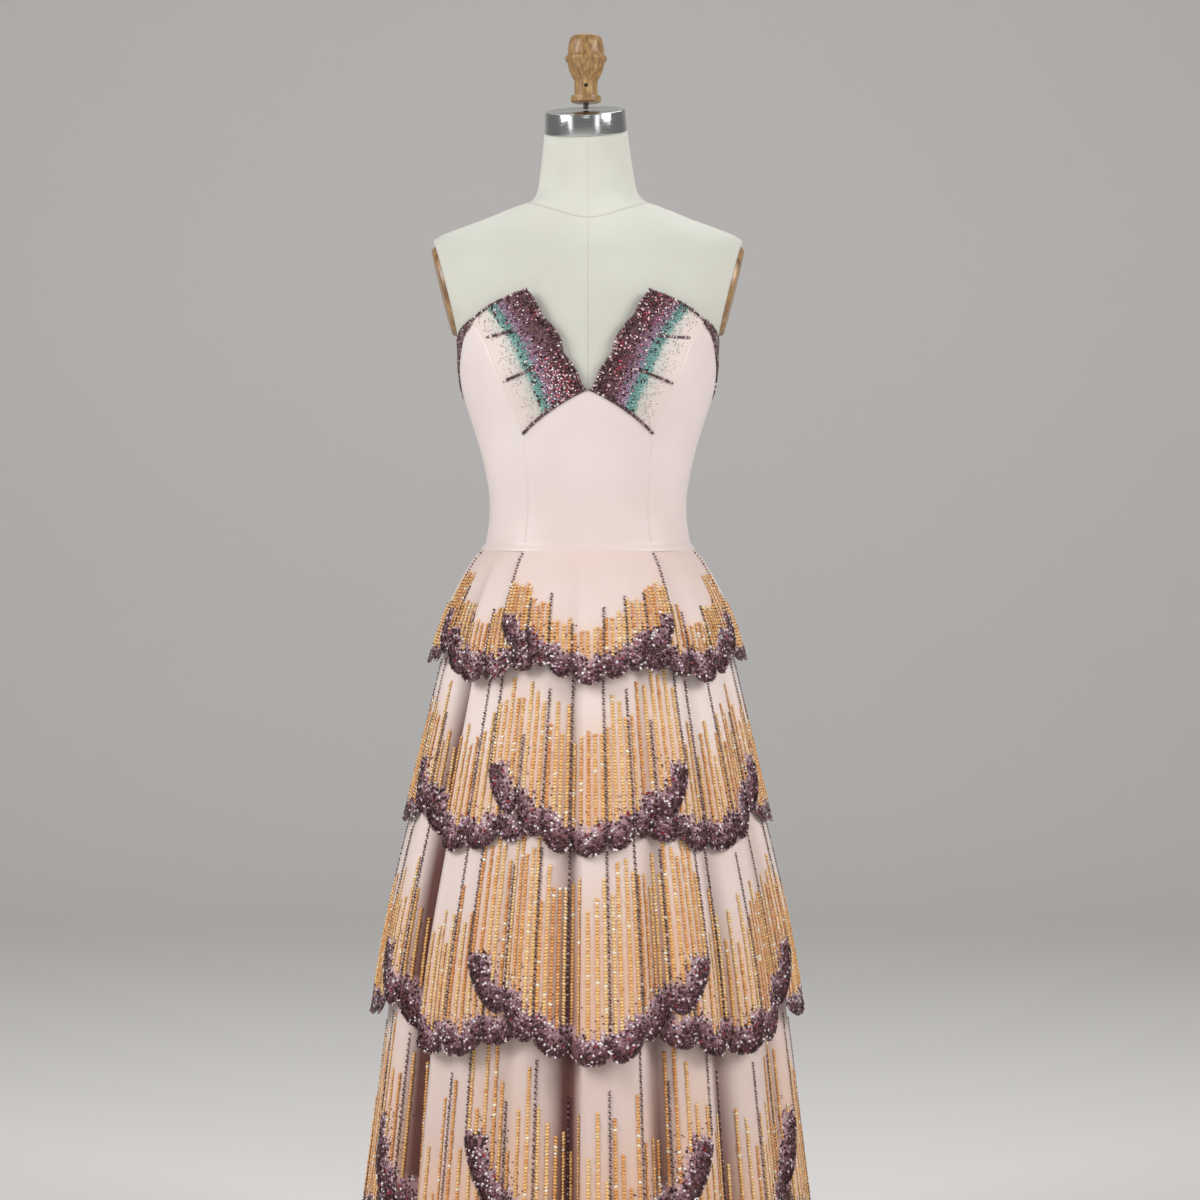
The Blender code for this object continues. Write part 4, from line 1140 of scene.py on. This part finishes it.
# Bead work on the bodice: sequins on the cups in bands of colour, plum bead lines under and across
# the cups, and an encrusted plum trim that widens along the top edge to the sides and runs round.
CUP_SEQUIN, CUP_COLUMNS, CUP_ROWS = 0.0017, 36, 54
CUP_SHARE_STEPS, CUP_SHARES = (0.0, 0.56, 0.61, 0.84, 0.92), (1.0, 0.98, 0.50, 0.22, 0.0)
CUP_TONE_STEPS = (0.0, 0.22, 0.36, 0.42, 0.46, 0.56, 0.60, 0.88)
CUP_TONES = (0.05, 0.22, 0.36, 0.44, 0.55, 0.68, 0.88, 1.0)
CUP_CLEAR, GLINT_SIZE = 0.58, 0.0015
CUP_LINES = chart("side out_from v_from out_to v_to beads", (
    (0, 0.0, 0.006, 0.99, 0.006, 54), (0, 0.0, 0.996, 0.99, 0.996, 40),
    (0, 0.004, 0.0, 0.004, 1.0, 84), (0, 0.034, 0.01, 0.034, 1.0, 80),
    (-1, 0.46, 0.74, 0.90, 0.82, 22), (-1, 0.46, 0.38, 0.94, 0.44, 22),
    (1, 0.46, 0.69, 0.91, 0.82, 22), (1, 0.38, 0.35, 0.96, 0.43, 22),
))
CUP_GLOWS = chart("side out v reach share", (
    (-1, 0.20, 0.14, 0.20, 0.75), (-1, 0.12, 0.86, 0.12, 0.20), (-1, 0.34, 0.35, 0.14, 0.25),
    (1, 0.12, 0.86, 0.11, 0.60), (1, 0.12, 0.52, 0.10, 0.55), (1, 0.14, 0.24, 0.09, 0.50),
    (1, 0.34, 0.90, 0.14, 0.30),
))
TRIM_ROWS, TRIM_PITCH, TRIM_BEAD_STEP = 28, 0.0018, 0.62
TRIM_ANGLES = (53, 62, 70, 76, 82, 90, 100, 116, 180)
TRIM_WIDTHS = (0.0045, 0.007, 0.010, 0.016, 0.030, 0.048, 0.036, 0.016, 0.008)

cup_foil = bead_finish("cup sequins", (
    (0.00, (58, 22, 28)), (0.20, (120, 72, 80)), (0.34, (172, 132, 160)),
    (0.44, (188, 162, 190)), (0.54, (106, 158, 154)), (0.70, (150, 200, 192)),
    (0.86, (186, 182, 174)), (1.00, (224, 216, 208)),
), 0.22, 0.4, 0.5)
glint_glass = bead_finish("red and pink glints", (
    (0.0, (168, 40, 48)), (0.35, (222, 96, 112)), (0.6, (255, 206, 216)), (1.0, (255, 250, 250)),
), 0.15, 0.35, 0.8)


def cup_outward(side, out, v, lift):
    base = cup_points(side, out, v, CUP_WALL)
    sideways = cup_points(side, out + 0.01, v, CUP_WALL) - base
    upward = cup_points(side, out, v + 0.01, CUP_WALL) - base
    normal = np.cross(sideways, upward) * side
    normal /= np.maximum(np.linalg.norm(normal, axis=1, keepdims=True), 1e-9)
    return base + normal * lift, normal


cup_scales, cup_glints, cup_lines = [], [], []
for side in (-1, 1):
    out, v = np.meshgrid((np.arange(CUP_COLUMNS) + 0.5) / CUP_COLUMNS, (np.arange(CUP_ROWS) + 0.5) / CUP_ROWS)
    out = np.clip(out.ravel() + chance.uniform(-0.5, 0.5, out.size) / CUP_COLUMNS, 0.005, 0.985)
    v = np.clip(v.ravel() + chance.uniform(-0.5, 0.5, v.size) / CUP_ROWS, 0.01, 0.99)
    keep = chance.uniform(size=len(out)) < np.interp(out, CUP_SHARE_STEPS, CUP_SHARES)
    out, v = out[keep], v[keep]
    tone = np.interp(out, CUP_TONE_STEPS, CUP_TONES) + chance.normal(0.0, np.where(out < 0.42, 0.075, 0.03))
    spark = chance.uniform(size=len(out))
    tone = np.where((spark < 0.16) & (out < CUP_CLEAR), 0.03, tone)
    turns = chance.uniform(0.0, math.tau, len(out))
    sizes = np.where(out < CUP_CLEAR, chance.uniform(0.85, 1.2, len(out)), 0.55)
    cup_scales.append((*cup_outward(side, out, v, 0.0007), turns, np.clip(tone, 0.0, 1.0), sizes))
    lively = sum(
        glow.share * np.exp(-((out - glow.out) ** 2 + (v - glow.v) ** 2) / glow.reach**2)
        for glow in CUP_GLOWS if glow.side == side
    )
    glints = (spark > 0.96 - 0.8 * lively) & (out < CUP_CLEAR)
    red = np.clip(chance.uniform(0.0, 0.85, len(out)) + 0.6 * out, 0.0, 1.0)
    cup_glints.append((*cup_outward(side, out[glints], v[glints], 0.0014), turns[glints], red[glints], sizes[glints]))
    for line in CUP_LINES:
        if line.side in (side, 0):
            count = line.beads
            run_out = np.linspace(line.out_from, line.out_to, count)
            run_v = np.linspace(line.v_from, line.v_to, count)
            # Painted white highlights on the lightest beads, as along the petal edges.
            tone = np.clip(chance.beta(1.1, 2.2, count) * 1.25, 0.0, 1.0)
            turns = chance.uniform(-1.5, 1.5, count)
            cup_lines.append((*cup_outward(side, run_out, run_v, 0.0010), turns, tone, np.ones(count)))

for row in range(TRIM_ROWS):
    for side in (-1, 1):
        angles = np.arange(FRONT_SEAM[-1].angle, 180.0, TRIM_BEAD_STEP) + 0.5 * TRIM_BEAD_STEP * (row % 2)
        angles = angles[row * TRIM_PITCH < np.interp(angles, TRIM_ANGLES, TRIM_WIDTHS)]
        heights = top_edge(angles) + 0.0006 - row * TRIM_PITCH
        spots = body_points(side * angles, heights, BODICE_CLEAR + BODICE_WALL + GOLD_LIFT)
        flat = np.stack([spots[:, 0], spots[:, 1], np.zeros(len(spots))], axis=1)
        # Painted white highlights on the lightest trim beads.
        tone = np.clip(chance.beta(1.1, 2.4, len(spots)) * 1.2, 0.0, 1.0)
        ways = flat / np.linalg.norm(flat, axis=1, keepdims=True)
        cup_lines.append((spots, ways, chance.uniform(-1.5, 1.5, len(spots)), tone, np.ones(len(spots))))


def joined(parts):
    """The beads of several runs, put together for one object."""
    return [np.concatenate(columns) for columns in zip(*parts)]


strew("cup_sequins", cupped_sequin(), *joined(cup_scales), CUP_SEQUIN, cup_foil, SEQUIN_TUMBLE)
strew("cup_glints", cupped_sequin(), *joined(cup_glints), GLINT_SIZE, glint_glass, 0.5)
strew("bodice_lines", glass_bead(), *joined(cup_lines), LINE_SIZE, plum_glass)
